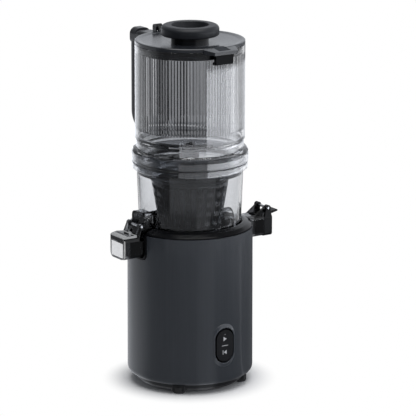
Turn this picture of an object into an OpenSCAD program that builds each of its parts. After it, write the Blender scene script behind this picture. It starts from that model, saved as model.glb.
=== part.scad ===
// Cold press juicer: a motor base, a clear juicing bowl with an auger, and a fluted hopper with a hinged lid.
// Millimetres, +Z up. The origin is on the auger's axis at the plane of the feet; the switch faces -Y,
// the juice spout points to -X, the pulp outlet to +X, and the handle is at +Y.

/* [Base] */
// Outer radius of the base shell near its foot
base_r = 75.2; // [68:0.1:80]
// How much narrower the base shell is at its top edge
base_draft = 0.5; // [0:0.1:1.5]
// Height of the shell's top edge above the table
base_h = 190; // [171:1:215]
// Height of the shell's lower edge above the table
shell_lift = 11; // [9:0.5:13]
// Wall of the base shell
shell_wall = 2.6; // [2:0.1:3.2]
// Radius of the shell's rounded lower corner
shell_corner = 8; // [5:0.5:12]
// Height of the base plate's underside above the table
foot_h = 2.5; // [2:0.5:5]
// Radius of one foot
foot_r = 7.6; // [6:0.1:9]
// How far inside the base's radius the feet stand
foot_inset = 13.7; // [12.5:0.1:18]

/* [Switch] */
// Height of the switch's middle above the table
switch_z = 59; // [50:1:90]
// Width of the rocker's opening
rocker_w = 25.5; // [20:0.5:28]
// Height of the rocker's opening
rocker_h = 41; // [34:0.5:46]
// Width of the raised surround
bezel_w = 30; // [29.5:0.5:33]
// Height of the raised surround
bezel_h = 53; // [48:0.5:58]

/* [Bowl] */
// Depth of the socket that the bowl stands in
socket_depth = 32; // [28:0.5:34]
// How far inside the base's radius the bowl's wall stands, just under its flange
shoulder_w = 11.9; // [11:0.1:13]
// How much narrower the bowl is at its floor
bowl_draft = 3.7; // [2.5:0.1:5]
// Wall of the bowl
bowl_wall = 2.5; // [2:0.1:3]
// Height of the joint between bowl and hopper above the shell's top edge
joint_rise = 80; // [76:0.5:90]
// How far the bowl's flange stands out from its wall
bowl_flange = 5.1; // [4.6:0.1:6]

/* [Spouts] */
// Reach of the juice channel from the axis
spout_reach = 99.5; // [92:0.5:110]
// Outer width of the juice channel
spout_w = 30; // [24:0.5:32]
// Outer height of the juice channel
spout_h = 21; // [16:0.5:24]
// Reach of the pulp tube from the axis
pulp_reach = 98.5; // [92:0.5:108]
// Outer width of the pulp tube
pulp_w = 26; // [22:0.5:30]
// Outer height of the pulp tube
pulp_h = 26; // [22:0.5:28]
// Wall of both spouts
spout_wall = 2.2; // [1.8:0.1:2.6]
// Radius of the spouts' rounded lower corners
spout_corner = 6; // [4:0.5:8]

/* [Strainer and auger] */
// Outer radius of the strainer at its funnel
strainer_r_top = 46; // [44:0.1:47]
// Outer radius of the strainer at its foot
strainer_r_low = 33; // [32:0.1:36]
// Number of windows round the strainer
window_count = 20; // [12:1:24]
// Width of one strainer window at the foot
window_w = 5.5; // [4:0.1:7]
// Radius of the auger's core
auger_core_r = 16; // [15.5:0.1:18]
// Number of flights on the auger
flight_count = 3; // [2:1:4]
// Turn of one flight from bottom to top, in degrees
flight_turn = 300; // [200:10:380]
// Thickness of a flight at its edge
flight_t = 2.4; // [1.6:0.1:3.2]
// Width across the flats of the drive hexagon
hex_af = 12; // [10:0.1:13]

/* [Hopper] */
// How far the hopper's barrel is wider than the bowl
hopper_step = 1.7; // [1.3:0.1:2.4]
// Wall of the hopper
hopper_wall = 2.7; // [2.4:0.1:3]
// Height of the hopper's rim above the joint
hopper_h = 140.6; // [120:0.2:180]
// Number of flutes round the inside of the hopper
flute_count = 110; // [60:1:130]
// Depth of one flute
flute_depth = 0.45; // [0.2:0.05:0.6]
// How far the hopper's flange stands out over the bowl's flange
flange_step = 0.8; // [0.5:0.1:2]

/* [Handle] */
// Width of the handle
handle_w = 22; // [18:0.5:26]
// Thickness of the handle's grip
grip_t = 12; // [10:0.5:14]
// Reach of the handle from the axis
handle_reach = 116.5; // [110:0.5:126]

/* [Lid] */
// Thickness of the lid at its rim
lid_rim_t = 4.4; // [4:0.1:5]
// Depth of the lid's skirt inside the hopper
skirt_depth = 10; // [8:0.5:14]
// Outer radius of the neck under the feed collar
neck_r = 22.2; // [20:0.1:26]
// Radius of the feed hole
feed_r = 19.8; // [18:0.1:20]
// Outer radius of the feed collar
collar_r = 34.5; // [30:0.1:38]
// Height of the feed collar's top above the lid's rim
collar_rise = 17.4; // [14:0.1:22]
// Half width of the tongue at the lid's front, where it leaves the rim
tongue_half = 22; // [18:0.5:26]
// Half width of the tongue at its tip
tongue_tip = 16; // [14:0.5:18]
// Reach of the tongue beyond the hopper's wall
tongue_over = 12.5; // [12:0.1:15]

/* [Drive] */
// Module of the gears
gear_module = 1.2; // [1.1:0.01:1.22]
// Teeth of both pinions
pinion_teeth = 14; // [14:1:15]
// Teeth of both large gears
gear_teeth = 42; // [40:2:42]
// Face width of a gear
gear_face = 10; // [8:0.5:11]
// Radius of the drive shaft
drive_r = 8; // [7:0.1:9]
// Radius of the motor shaft
motor_shaft_r = 4; // [3:0.1:5]
// Outer radius of the motor can
can_r = 33; // [31:0.5:36]
// Height of the bosses that the motor stands on
motor_lift = 9; // [6:0.5:12]

/* [Fits] */
// Gap between parts that turn or lift against each other
fit = 0.3; // [0.3:0.05:0.4]
// Radial clearance of a shaft or pin in its bearing
run = 0.05; // [0.02:0.01:0.08]
// Radial clearance of a bearing or a fixed pin in its seat
press = 0.01; // [0.01:0.01:0.03]

/* [Hidden] */
$fn = 96;
eps = 0.01;
slate = [0.17, 0.18, 0.2];
black = [0.06, 0.06, 0.07];
smoke = [0.55, 0.57, 0.6, 0.45];
steel = [0.7, 0.71, 0.73];
copper = [0.72, 0.42, 0.22];
rubber = [0.1, 0.1, 0.1];
white_plastic = [0.85, 0.85, 0.82];
board_green = [0.1, 0.35, 0.2];

// Heights up the base
deck_t = 3;
deck_z = base_h - socket_depth;
seat_boss_h = 12;
cover_t = 3;
case_h = 42;
cover_top = deck_z - deck_t - seat_boss_h;
case_z = cover_top - cover_t - case_h;
plate_t = 2.5;
plate_top = foot_h + plate_t;
plate_rim_z = shell_lift + 4.5;
plate_r = base_r - shell_corner - 0.4;
bracket_t = 6;
mount_h = 6;
mount_z = plate_top + motor_lift;
can_z = mount_z + mount_h + bracket_t;
can_len = case_z - bracket_t - can_z;

// Heights of bowl and hopper
bowl_z = deck_z + 5;
floor_top = bowl_z + bowl_wall;
joint_z = base_h + joint_rise;
bowl_rim_z = joint_z + 10.5;
ledge_z = joint_z - 14;
hopper_z = joint_z + hopper_h;
lid_z = hopper_z + lid_rim_t;

// Radii of shell, bowl, hopper and socket
base_top_r = base_r - base_draft;
bowl_r_top = base_r - shoulder_w;
bowl_r_low = bowl_r_top - bowl_draft;
bowl_flange_r = bowl_r_top + bowl_flange;
hopper_r = bowl_r_top + hopper_step;
hopper_flange_r = bowl_flange_r + flange_step;
bowl_slope = (bowl_r_top - bowl_r_low) / (joint_z - 8 - bowl_z);
function bowl_r_at(z) = bowl_r_low + bowl_slope * (z - bowl_z);
socket_low = bowl_r_low + 1.4;
socket_top = bowl_r_at(base_h) + 1.4;
lip_h = 6.8;
hub_in = 10.4;
hub_out = 13.4;
hub_h = 15;

// Feet, screws and bosses
foot_ring = base_r - foot_inset;
foot_pad_z = 8;
screw_seat_z = 11;
boss_r = 4.5;
boss_ring = base_r - 19.2;
boss_turn = 22;
screw_r = 1.5;
screw_head_r = 3;
screw_head_h = 2.4;

// Rocker and its board
bezel_front = base_r + 1.4;
rocker_y = -(base_r - 5);
rocker_pin_r = 1.2;
stud_y = -(base_r - 13);
stud_z = 9;
board_y = -(base_r - 18.2);
board_t = 1.6;
peg_x = rocker_w / 2 + 4.25;
peg_rise = 10;
switch_board_half = peg_x + 4;
switch_board_h = 2 * peg_rise + 14;
control_board_w = 60;
control_board_h = 56;
board_back = base_r - 31.2;
vent_count = 9;
vent_w = 2.4;
vent_len = 28;
cord_z = 32;
gland_r = 6;

// Motor internals
can_wall = 2;
magnet_t = 4;
core_r = can_r - can_wall - magnet_t - 0.6;
core_z = can_z + 15;
core_h = can_len - 29;
bearing_w = 5;
motor_bearing_r = 9;
mount_ring = 28;

commutator_r = 9;
brush_z = can_z + can_len - 8.5;
motor_shaft_z = can_z - bracket_t - 2;

// Gear train: two equal stages fold back on the axis
centre_distance = gear_module * (pinion_teeth + gear_teeth) / 2;
gear_tip_r = gear_module * (gear_teeth / 2 + 0.9);
case_r = centre_distance + gear_tip_r + 3.5;
case_wall = 2.5;
low_stage_z = case_z + case_wall + 3;
high_stage_z = low_stage_z + gear_face + 3;
pressure = 20;
backlash = 0.24;
idler_bore = 3.5;
output_bearing_r = 14;
output_bearing_w = 6;
bearing_low_z = high_stage_z + gear_face + 2.4;
bearing_high_z = deck_z - deck_t - output_bearing_w - 1;
gearbox_ring = case_r - 14;
motor_shaft_top = low_stage_z + gear_face + 1;
drive_z = high_stage_z - 0.5;
hex_z = bowl_z - 1;
hex_top = bowl_z + 25;

// Cradles, spouts and their hinges
seal_r = 12.6;
bowl_in = bowl_r_top - bowl_wall + 0.3;
lug_sweep = 22;
ear_in = 9;
pulp_ear = 7.4;
tab_half = 7.5;
tab_reach = 12;
cradle_wall = 2;
cradle_gap = 1;
spout_z = bowl_z;
cap_t = 2.2;
seal_t = 3.8;
arch_w = spout_w - 3;
arch_out = base_r - 2.2;
arch_top = base_h + 26;
knuckle_r = 3.4;
juice_hinge = [-(arch_out + knuckle_r + 0.5), 0, base_h + 11];
pin_r = 1.5;
ear_t = 2.6;
tunnel_w = 28;
tunnel_top = base_h + 14;
tunnel_in = 42;
pulp_z = bowl_z + 2;
pulp_top = pulp_z + pulp_h;
pulp_hinge = [pulp_reach + 6, 0, pulp_top + 8];
pulp_cap_t = 11.2;

// Strainer
strainer_t = 2;
strainer_foot_z = bowl_z + 5;
strainer_top_z = joint_z - 22;
strainer_slope = (strainer_r_top - strainer_r_low) / (strainer_top_z - strainer_foot_z);
function strainer_r_at(z) = strainer_r_low + strainer_slope * (z - strainer_foot_z);
screen_t = 0.8;
window_low = base_h + 6;
window_high = strainer_top_z - 5;

// Auger
flight_z0 = bowl_z + 9;
flight_z1 = joint_z - 20;
auger_gap = 1;
auger_shank_r = hub_in - fit;
socket_wall = 0.7;
wing_r_low = 42;
wing_r_high = 46;
core_top_z = joint_z - 18;
auger_tip_z = joint_z + 21;
auger_tip_r = 7;
function flight_r_at(z) = strainer_r_at(z) - strainer_t - screen_t - auger_gap;

// Hopper
throat_r = bowl_in - 3.3;
flute_z = joint_z + 40;

// Handle
handle_low = joint_z + 18;
handle_high = hopper_z - 0.2;
handle_seat = hopper_r + 0.05;
lid_hinge = [0, hopper_r + 6, hopper_z + 8.2];
hinge_knuckle_r = 3.6;
hinge_half = 2.6;
hinge_ear_t = 2;
grip_rise = 1.8;

// Lid
skirt_r = hopper_r - 4.4;
skirt_wall = 2.2;
collar_z = lid_z + 5.3;
tongue_reach = hopper_r + tongue_over;
tongue_low = hopper_z - 1.8;
latch_half = 7.6;
latch_gap = 0.4;
latch_floor = 1.1;
latch_pad_t = 2;
latch_back = -(hopper_r - 6.6);
latch_pivot = [0, -(hopper_r + 6.5), hopper_z + 0.2];
latch_leg = [-(hopper_r + 9), -(hopper_r + 4.6)];
hook_half = 12;
hook_y = -(hopper_r + 1.2);
hook_z = hopper_z - 14.1;
catch_rise = 0.9;

// An arc of points about a centre
function arc(centre, r, a0, a1, n = 6) =
    [for (i = [0:n]) centre + r * [cos(a0 + (a1 - a0) * i / n), sin(a0 + (a1 - a0) * i / n)]];

// Extrude a drawing of the YZ plane along X, from x0 to x1
module along_x(x0, x1) {
    translate([x0, 0, 0]) rotate([90, 0, 90]) linear_extrude(x1 - x0) children();
}

// Extrude a drawing of the XZ plane along Y, from y0 to y1
module along_y(y0, y1) {
    translate([0, y1, 0]) rotate([90, 0, 0]) linear_extrude(y1 - y0) children();
}

// A ring that lies flat: inner radius, outer radius, lowest and highest Z
module ring(r_in, r_out, z0, z1) {
    translate([0, 0, z0]) difference() {
        cylinder(h = z1 - z0, r = r_out);
        translate([0, 0, -1]) cylinder(h = z1 - z0 + 2, r = r_in);
    }
}

module disc(r, z0, z1) {
    translate([0, 0, z0]) cylinder(h = z1 - z0, r = r);
}

// Two plates in the XZ plane, one at each side of the middle, from Y = inner outwards by one ear
module pair_of_plates(inner) {
    along_y(inner, inner + ear_t) children();
    along_y(-inner - ear_t, -inner) children();
}

// A trough outline: flat top, rounded lower corners, standing on Y = 0
module trough(w, h, r) {
    translate([-w / 2, r]) square([w, h - r]);
    translate([-w / 2 + r, 0]) square([w - 2 * r, r + eps]);
    for (side = [-1, 1]) translate([side * (w / 2 - r), r]) circle(r, $fn = 48);
}

// The same outline with its rounded corners at the top
module arch(w, h, r) {
    translate([0, h]) mirror([0, 1]) trough(w, h, r);
}

// An outline with all four corners rounded, standing on Y = 0
module rounded(w, h, r) {
    intersection() {
        trough(w, h, r);
        arch(w, h, r);
    }
}

module capsule(w, h) {
    translate([-w / 2, -(h - w) / 2]) square([w, h - w]);
    for (side = [-1, 1]) translate([0, side * (h - w) / 2]) circle(w / 2, $fn = 64);
}

// A straight hexagon prism from its width across the flats
module hexagon(af, z0, z1) {
    translate([0, 0, z0]) cylinder(h = z1 - z0, r = af / sqrt(3), $fn = 6);
}

// Repeat on a circle
module around(count, r, start = 0) {
    for (i = [0:count - 1]) rotate([0, 0, start + i * 360 / count]) translate([r, 0, 0]) children();
}

// Involute gear outline
function involute(a) = tan(a) * 180 / PI - a;
function tooth_half(r, teeth) =
    let (pitch_r = gear_module * teeth / 2,
         base_circle = pitch_r * cos(pressure),
         a = r > base_circle ? acos(base_circle / r) : 0)
    90 / teeth - backlash / 4 / pitch_r * 180 / PI + involute(pressure) - involute(a);
function tooth_radii(teeth) =
    let (pitch_r = gear_module * teeth / 2,
         root = pitch_r - 1.3 * gear_module,
         tip = pitch_r + 0.9 * gear_module)
    [root, max(root + 0.05, pitch_r * cos(pressure)), pitch_r, tip];
function gear_points(teeth) = let (radii = tooth_radii(teeth)) [
    for (i = [0:teeth - 1], side = [-1, 1], k = [0:3])
        let (r = radii[side < 0 ? k : 3 - k],
             a = i * 360 / teeth + side * tooth_half(r, teeth))
        r * [cos(a), sin(a)]
];
module gear(teeth, face, bore) {
    linear_extrude(face) difference() {
        polygon(gear_points(teeth));
        circle(bore);
    }
}

// ---- Base ----

module shell_profile() {
    corner = [base_r - shell_corner, shell_lift + shell_corner];
    polygon(concat(
        [[base_top_r, base_h]],
        arc(corner, shell_corner, 0, -90, 8),
        arc(corner, shell_corner - shell_wall, -90, 0, 8),
        [[base_top_r - shell_wall, base_h]]));
}

// The cut that the cradles need, for both sides
module cradle_cuts(grow) {
    for (side = [-1, 1]) {
        w = (side < 0 ? spout_w : pulp_w) + 2 * (cradle_gap + cradle_wall + grow);
        z = (side < 0 ? spout_z : pulp_z) - cradle_gap - cradle_wall - grow;
        along_x(side < 0 ? -base_r - 5 : socket_low - 3, side < 0 ? -socket_low + 3 : base_r + 5)
            translate([0, z]) trough(w, base_h + lip_h + 5 - z, spout_corner + cradle_gap);
    }
}

module base_shell() {
    color(slate) {
        difference() {
            union() {
                rotate_extrude($fn = 180) shell_profile();
                for (a = [0:90:270]) rotate([0, 0, a + boss_turn]) {
                    translate([boss_ring, 0, plate_rim_z]) cylinder(h = 24, r = boss_r, $fn = 32);
                    translate([boss_ring + boss_r - 1, -1.5, plate_rim_z + 6])
                        cube([base_r - shell_wall - boss_ring - boss_r + 1.3, 3, 18]);
                }
                board_pegs();
            }
            cradle_cuts(fit);
            translate([0, 0, switch_z]) rotate([90, 0, 0])
                linear_extrude(base_r + 5) capsule(rocker_w + 2.4, rocker_h + 2.4);
            for (a = [0:90:270]) rotate([0, 0, a + boss_turn]) translate([boss_ring, 0, plate_rim_z - 1])
                cylinder(h = 14, r = screw_r + run, $fn = 32);
            translate([0, base_r + 5, cord_z]) rotate([90, 0, 0]) cylinder(h = 12, r = gland_r, $fn = 48);
        }
    }
}

// Pegs inside the shell that hold the switch board, two at each side of the rocker
module board_pegs() {
    peg_len = sqrt(pow(base_r - shell_wall + 0.6, 2) - pow(peg_x, 2)) + board_y;
    for (x = [-peg_x, peg_x], z = [switch_z - peg_rise, switch_z + peg_rise])
        translate([x, board_y, z]) rotate([90, 0, 0]) cylinder(h = peg_len, r = 2.2, $fn = 32);
}

module bowl_seat() {
    lip_r = socket_top;
    edge = base_top_r;
    color(black) difference() {
        union() {
            difference() {
                union() {
                    rotate_extrude($fn = 180) polygon([
                        [edge - 1.5, base_h], [edge - 1.5, base_h + 1.2], [edge - 0.4, base_h + 1.2],
                        [edge - 0.4, base_h + 1.9], [edge - 1.2, base_h + 2.9], [edge - 5.2, base_h + 5.3],
                        [lip_r + 2.4, base_h + lip_h], [lip_r + 0.8, base_h + lip_h],
                        [lip_r, base_h + lip_h - 0.8],
                        [lip_r, base_h - 4], [socket_low, deck_z], [14, deck_z], [14, deck_z + 3],
                        [11.2, deck_z + 3], [11.2, deck_z - deck_t], [socket_low + 2.4, deck_z - deck_t],
                        [lip_r + 2.4, base_h - 4], [lip_r + 2.4, base_h + lip_h - 2.8],
                        [edge - 4.1, base_h + 1],
                        [edge - shell_wall - 1.5, base_h - 8], [edge - shell_wall - fit, base_h - 8],
                        [edge - shell_wall - fit, base_h]
                    ]);
                    around(4, gearbox_ring, 45) translate([0, 0, cover_top])
                        cylinder(h = seat_boss_h + 0.5, r = 5, $fn = 32);
                }
                cradle_inner();
            }
            cradle_liners();
        }
        around(4, gearbox_ring, 45) translate([0, 0, cover_top - 1]) cylinder(h = 10, r = 2 + run, $fn = 32);
    }
}

// The open inside of both cradles, cut through the shoulder and the socket wall
module cradle_inner() {
    for (side = [-1, 1]) {
        w = (side < 0 ? spout_w : pulp_w) + 2 * cradle_gap;
        z = (side < 0 ? spout_z : pulp_z) - cradle_gap;
        along_x(side < 0 ? -base_r - 5 : socket_low - 2, side < 0 ? -socket_low + 2 : base_r + 5)
            translate([0, z]) trough(w, base_h + lip_h + 5 - z, spout_corner + cradle_gap - 1);
    }
}

// U-shaped liners that close the notches between socket and shell
module cradle_liners() {
    difference() {
        intersection() {
            union() for (side = [-1, 1]) {
                w = (side < 0 ? spout_w : pulp_w) + 2 * (cradle_gap + cradle_wall);
                z = (side < 0 ? spout_z : pulp_z) - cradle_gap - cradle_wall;
                along_x(side < 0 ? -base_r - 5 : socket_low, side < 0 ? -socket_low : base_r + 5)
                    translate([0, z]) trough(w, base_h + 1.5 - z, spout_corner + cradle_gap);
            }
            ring(socket_low + 0.8, base_r + 0.9, deck_z - 3, base_h + 10);
        }
        cradle_inner();
    }
}

module base_plate() {
    color(black) difference() {
        union() {
            rotate_extrude($fn = 180) polygon([
                [0, foot_h], [plate_r - 6, foot_h], [plate_r - 1.6, foot_h + 3.6], [plate_r, shell_lift - 1],
                [plate_r, plate_rim_z], [plate_r - plate_t, plate_rim_z], [plate_r - plate_t, shell_lift - 1],
                [plate_r - plate_t - 1.2, plate_top + 1.4], [plate_r - 7, plate_top], [0, plate_top]
            ]);
            intersection() {
                around(4, foot_ring, 45) disc(foot_r + 1.7, foot_h + 0.6, shell_lift - 0.6);
                disc(plate_r + 1.2, foot_h, shell_lift);
            }
            for (a = [0:90:270]) rotate([0, 0, a + boss_turn]) translate([boss_ring, 0, foot_h + 0.4])
                cylinder(h = plate_rim_z - foot_h - 0.4, r = boss_r, $fn = 32);
            around(4, mount_ring, 45) translate([0, 0, foot_h + 0.4])
                cylinder(h = mount_z - foot_h - 0.4, r = 5, $fn = 32);
            // Slotted posts that the control board stands in
            for (side = [-1, 1])
                translate([side * (control_board_w / 2 - 3) - 2, board_back - 3.2, foot_h]) difference() {
                    cube([4, 8, 22]);
                    translate([-1, 3.1, plate_t + 3]) cube([6, board_t + 0.2, 30]);
                }
        }
        around(4, foot_ring, 45) disc(foot_r + 0.1, -1, foot_pad_z);
        for (a = [0:90:270]) rotate([0, 0, a + boss_turn]) translate([boss_ring, 0, 0]) {
            cylinder(h = plate_rim_z + 1, r = screw_r + run, $fn = 32);
            cylinder(h = screw_seat_z, r = screw_head_r + 0.5, $fn = 32);
        }
        // Cooling slots, shorter towards the sides
        for (i = [0:vent_count - 1])
            let (step = i - (vent_count - 1) / 2, len = vent_len - 2 * abs(step))
            translate([5 * step - vent_w / 2, -len / 2, 0]) cube([vent_w, len, plate_top + 1]);
    }
}

module rubber_feet() {
    color(rubber) around(4, foot_ring, 45) {
        cylinder(h = 1, r1 = foot_r - 0.8, r2 = foot_r, $fn = 48);
        translate([0, 0, 1]) cylinder(h = foot_pad_z - 1, r = foot_r, $fn = 48);
    }
}

module base_screws() {
    color(steel) for (a = [0:90:270]) rotate([0, 0, a + boss_turn]) translate([boss_ring, 0, 0]) {
        translate([0, 0, screw_seat_z - screw_head_h]) cylinder(h = screw_head_h, r = screw_head_r, $fn = 32);
        translate([0, 0, screw_seat_z - eps]) cylinder(h = 14, r = screw_r, $fn = 32);
    }
}

module cord_gland() {
    wall_y = base_r - 0.1;
    color(black) translate([0, 0, cord_z]) difference() {
        union() {
            rotate([-90, 0, 0]) {
                disc(gland_r + 2.4, wall_y + 0.1, wall_y + 3.1);
                disc(gland_r - 0.05, wall_y - 3, wall_y + 0.2);
                disc(gland_r + 1.4, wall_y - 6, wall_y - 3);
            }
        }
        translate([0, wall_y + 5, 0]) rotate([90, 0, 0]) cylinder(h = 14, r = 3.6, $fn = 48);
    }
}

// ---- Switch ----

module switch_bezel() {
    color(slate) translate([0, 0, switch_z]) difference() {
        union() {
            difference() {
                union() {
                    rotate([90, 0, 0]) linear_extrude(bezel_front - 0.7) capsule(bezel_w, bezel_h);
                    rotate([90, 0, 0]) linear_extrude(bezel_front) capsule(bezel_w - 1.4, bezel_h - 1.4);
                }
                translate([0, 0, -bezel_h]) cylinder(h = 2 * bezel_h, r = base_r + 0.05, $fn = 180);
            }
            translate([0, -base_r + 9, 0]) rotate([90, 0, 0])
                linear_extrude(bezel_front - base_r + 9) capsule(rocker_w + 2, rocker_h + 2);
        }
        translate([0, -base_r + 12, 0]) rotate([90, 0, 0]) linear_extrude(20) capsule(rocker_w, rocker_h);
        translate([-rocker_w, rocker_y, 0]) rotate([0, 90, 0])
            cylinder(h = 2 * rocker_w, r = rocker_pin_r + run, $fn = 32);
    }
}

module switch_rocker() {
    gap = 1.2;
    color(black) translate([0, 0, switch_z]) difference() {
        union() {
            translate([0, -base_r + 3, 0]) rotate([90, 0, 0])
                linear_extrude(3.8) capsule(rocker_w - 2 * gap, rocker_h - 2 * gap);
            translate([0, -base_r + 9, 0]) rotate([90, 0, 0])
                linear_extrude(6 + eps) capsule(rocker_w - 7, rocker_h - 12);
            for (side = [-1, 1]) translate([0, stud_y, side * stud_z]) rotate([90, 0, 0])
                cylinder(h = 5, r = 2, $fn = 32);
        }
        translate([-rocker_w, rocker_y, 0]) rotate([0, 90, 0])
            cylinder(h = 2 * rocker_w, r = rocker_pin_r + run, $fn = 32);
    }
}

module rocker_pin() {
    color(steel) translate([-rocker_w / 2 - 1, rocker_y, switch_z]) rotate([0, 90, 0])
        cylinder(h = rocker_w + 2, r = rocker_pin_r, $fn = 32);
}

// The board behind the rocker, with a tact switch under each end
module switch_board() {
    tact_y = stud_y + 1;
    color(board_green) translate([-switch_board_half, board_y, switch_z - switch_board_h / 2])
        cube([2 * switch_board_half, board_t, switch_board_h]);
    color(black) for (side = [-1, 1]) translate([0, 0, switch_z + side * stud_z]) {
        translate([-3, tact_y + 1, -3]) cube([6, board_y - tact_y - 1, 6]);
        translate([0, tact_y + 1, 0]) rotate([90, 0, 0]) cylinder(h = 1, r = 1.7, $fn = 32);
    }
}

module control_board() {
    board_z = plate_top + 3;
    front = board_back + board_t;
    color(board_green) translate([-control_board_w / 2, board_back, board_z])
        cube([control_board_w, board_t, control_board_h]);
    // Power relay, capacitor and plug socket
    color(black) {
        translate([-22, front, board_z + control_board_h - 24]) cube([14, 6, 20]);
        translate([14, front, board_z + control_board_h - 14]) rotate([-90, 0, 0])
            cylinder(h = 10, r = 6, $fn = 48);
        translate([2, front, board_z + 22]) cube([20, 5, 8]);
    }
}

// Interlock switch under the deck
module safety_switch() {
    color(black) {
        translate([-10, 34, deck_z - deck_t - 8]) cube([20, 7, 8]);
        for (x = [-6, 4]) translate([x, 36.5, deck_z - deck_t - 10]) cube([2, 2, 2.01]);
    }
}

// ---- Motor ----

module motor_mounts() {
    color(rubber) around(4, mount_ring, 45) translate([0, 0, mount_z]) difference() {
        cylinder(h = mount_h, r = 5, $fn = 32);
        translate([0, 0, mount_h / 2 - 0.8]) ring(4.2, 6, 0, 1.6);
    }
}

module lower_bracket() {
    z = can_z - bracket_t;
    color(steel) difference() {
        disc(can_r, z, can_z);
        disc(motor_bearing_r + press, z + 1.5, can_z + 1);
        disc(motor_shaft_r + 1.5, z - 1, can_z + 1);
        around(6, can_r - 13) translate([0, 0, z - 1]) cylinder(h = bracket_t + 2, r = 4, $fn = 32);
    }
}

module upper_bracket() {
    z = can_z + can_len;
    color(steel) difference() {
        disc(can_r, z, z + bracket_t);
        disc(motor_bearing_r + press, z - 1, z + bracket_t - 1.5);
        disc(motor_shaft_r + 1.5, z - 1, z + bracket_t + 1);
    }
}

module motor_can() {
    color(steel) difference() {
        ring(can_r - can_wall, can_r, can_z, can_z + can_len);
        for (z = [can_z + 4, can_z + can_len - 12]) around(6, can_r, 30)
            translate([-5, -5, z]) cube([10, 10, 7]);
    }
}

module field_magnets() {
    r_out = can_r - can_wall - 0.02;
    color([0.25, 0.25, 0.27]) for (side = [0, 180]) rotate([0, 0, side - 65])
        translate([0, 0, core_z - 1]) rotate_extrude(angle = 130)
            translate([r_out - magnet_t, 0]) square([magnet_t, core_h + 2]);
}

module motor_bearings() {
    color(steel) for (z = [can_z - bearing_w + 0.5, can_z + can_len - 0.5])
        ring(motor_shaft_r + run, motor_bearing_r, z, z + bearing_w);
}

module carbon_brushes() {
    color([0.2, 0.2, 0.2]) for (side = [-1, 1]) {
        translate([side > 0 ? commutator_r + fit : -commutator_r - fit - 9, -2.5, brush_z])
            cube([9, 5, 5]);
        translate([side > 0 ? commutator_r + fit + 3 : -commutator_r - fit - 10, -3.5, brush_z + 5])
            cube([7, 7, 3.5]);
    }
}

module motor_shaft() {
    color(steel) disc(motor_shaft_r, motor_shaft_z, motor_shaft_top);
}

module armature_core() {
    slots = 12;
    color([0.35, 0.35, 0.37]) difference() {
        ring(motor_shaft_r, core_r, core_z, core_z + core_h);
        around(slots, core_r - 6) translate([0, 0, core_z - 1]) cylinder(h = core_h + 2, r = 2.6, $fn = 24);
        around(slots, core_r - 4) translate([0, -0.9, core_z - 1]) cube([6, 1.8, core_h + 2]);
    }
}

module armature_windings() {
    inner = motor_shaft_r + 4;
    outer = core_r - 3.5;
    color(copper) for (z = [core_z - 5, core_z + core_h])
        translate([0, 0, z]) rotate_extrude() polygon([
            [inner, 0], [outer - 1.5, 0], [outer, 1.5], [outer, 3.5], [outer - 1.5, 5], [inner, 5]
        ]);
}

module commutator() {
    bars = 12;
    z = core_z + core_h + 5.2;
    color(copper) difference() {
        ring(motor_shaft_r, commutator_r, z, can_z + can_len - 1.5);
        around(bars, commutator_r) translate([-1, -0.3, z - 1]) cube([2, 0.6, 20]);
    }
}

module cooling_fan() {
    z = can_z + 2;
    blades = 9;
    color(white_plastic) {
        ring(motor_shaft_r, 8, z, z + 7);
        ring(7.5, core_r - 1, z, z + 1.2);
        for (i = [0:blades - 1]) rotate([0, 0, i * 360 / blades]) translate([7.5, 0, z + 1.1])
            rotate([0, 0, 18]) cube([core_r - 10, 1.4, 5.9]);
    }
}

module motor_pinion() {
    color(steel) translate([0, 0, low_stage_z]) rotate([0, 0, 90])
        gear(pinion_teeth, gear_face, motor_shaft_r);
}

// ---- Gearbox ----

module idler_gear() {
    color(white_plastic) translate([0, centre_distance, 0]) {
        translate([0, 0, low_stage_z]) gear(gear_teeth, gear_face, idler_bore + run);
        translate([0, 0, low_stage_z + gear_face]) rotate([0, 0, -90])
            gear(pinion_teeth, gear_face + 5, idler_bore + run);
    }
}

module idler_pin() {
    color(steel) translate([0, centre_distance, 0]) disc(idler_bore, case_z + 1, cover_top - 1);
}

module output_gear() {
    web = gear_module * gear_teeth / 2 - 4;
    color(white_plastic) translate([0, 0, high_stage_z]) difference() {
        gear(gear_teeth, gear_face, drive_r);
        around(6, (web + drive_r + 3) / 2) disc(3.6, -1, gear_face + 1);
    }
}

module drive_shaft() {
    color(steel) {
        disc(drive_r, drive_z, hex_z);
        hexagon(hex_af, hex_z - eps, hex_top);
    }
}

module output_bearings() {
    color(steel) for (z = [bearing_low_z, bearing_high_z])
        ring(drive_r + run, output_bearing_r, z, z + output_bearing_w);
}

module gearbox_case() {
    color(slate) difference() {
        union() {
            difference() {
                disc(case_r, case_z, case_z + case_h);
                disc(case_r - case_wall, case_z + case_wall, case_z + case_h + 1);
            }
            intersection() {
                around(4, gearbox_ring, 45) disc(5, case_z, case_z + case_h);
                difference() {
                    disc(case_r - 0.5, case_z, case_z + case_h);
                    translate([0, centre_distance, case_z]) cylinder(h = case_h, r = gear_tip_r + 1);
                    disc(gear_tip_r + 1, case_z, case_z + case_h);
                }
            }
            translate([0, centre_distance, case_z]) cylinder(h = low_stage_z - case_z - 0.4, r = 7, $fn = 48);
        }
        disc(motor_shaft_r + 2, case_z - 1, case_z + case_wall + 1);
        translate([0, centre_distance, 0]) disc(idler_bore + press, case_z + 1, case_z + 10);
        around(4, gearbox_ring, 45) {
            disc(2 + run, case_z - 1, case_z + case_h + 1);
            disc(3.8, case_z - 1, case_z + 3);
        }
    }
}

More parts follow.
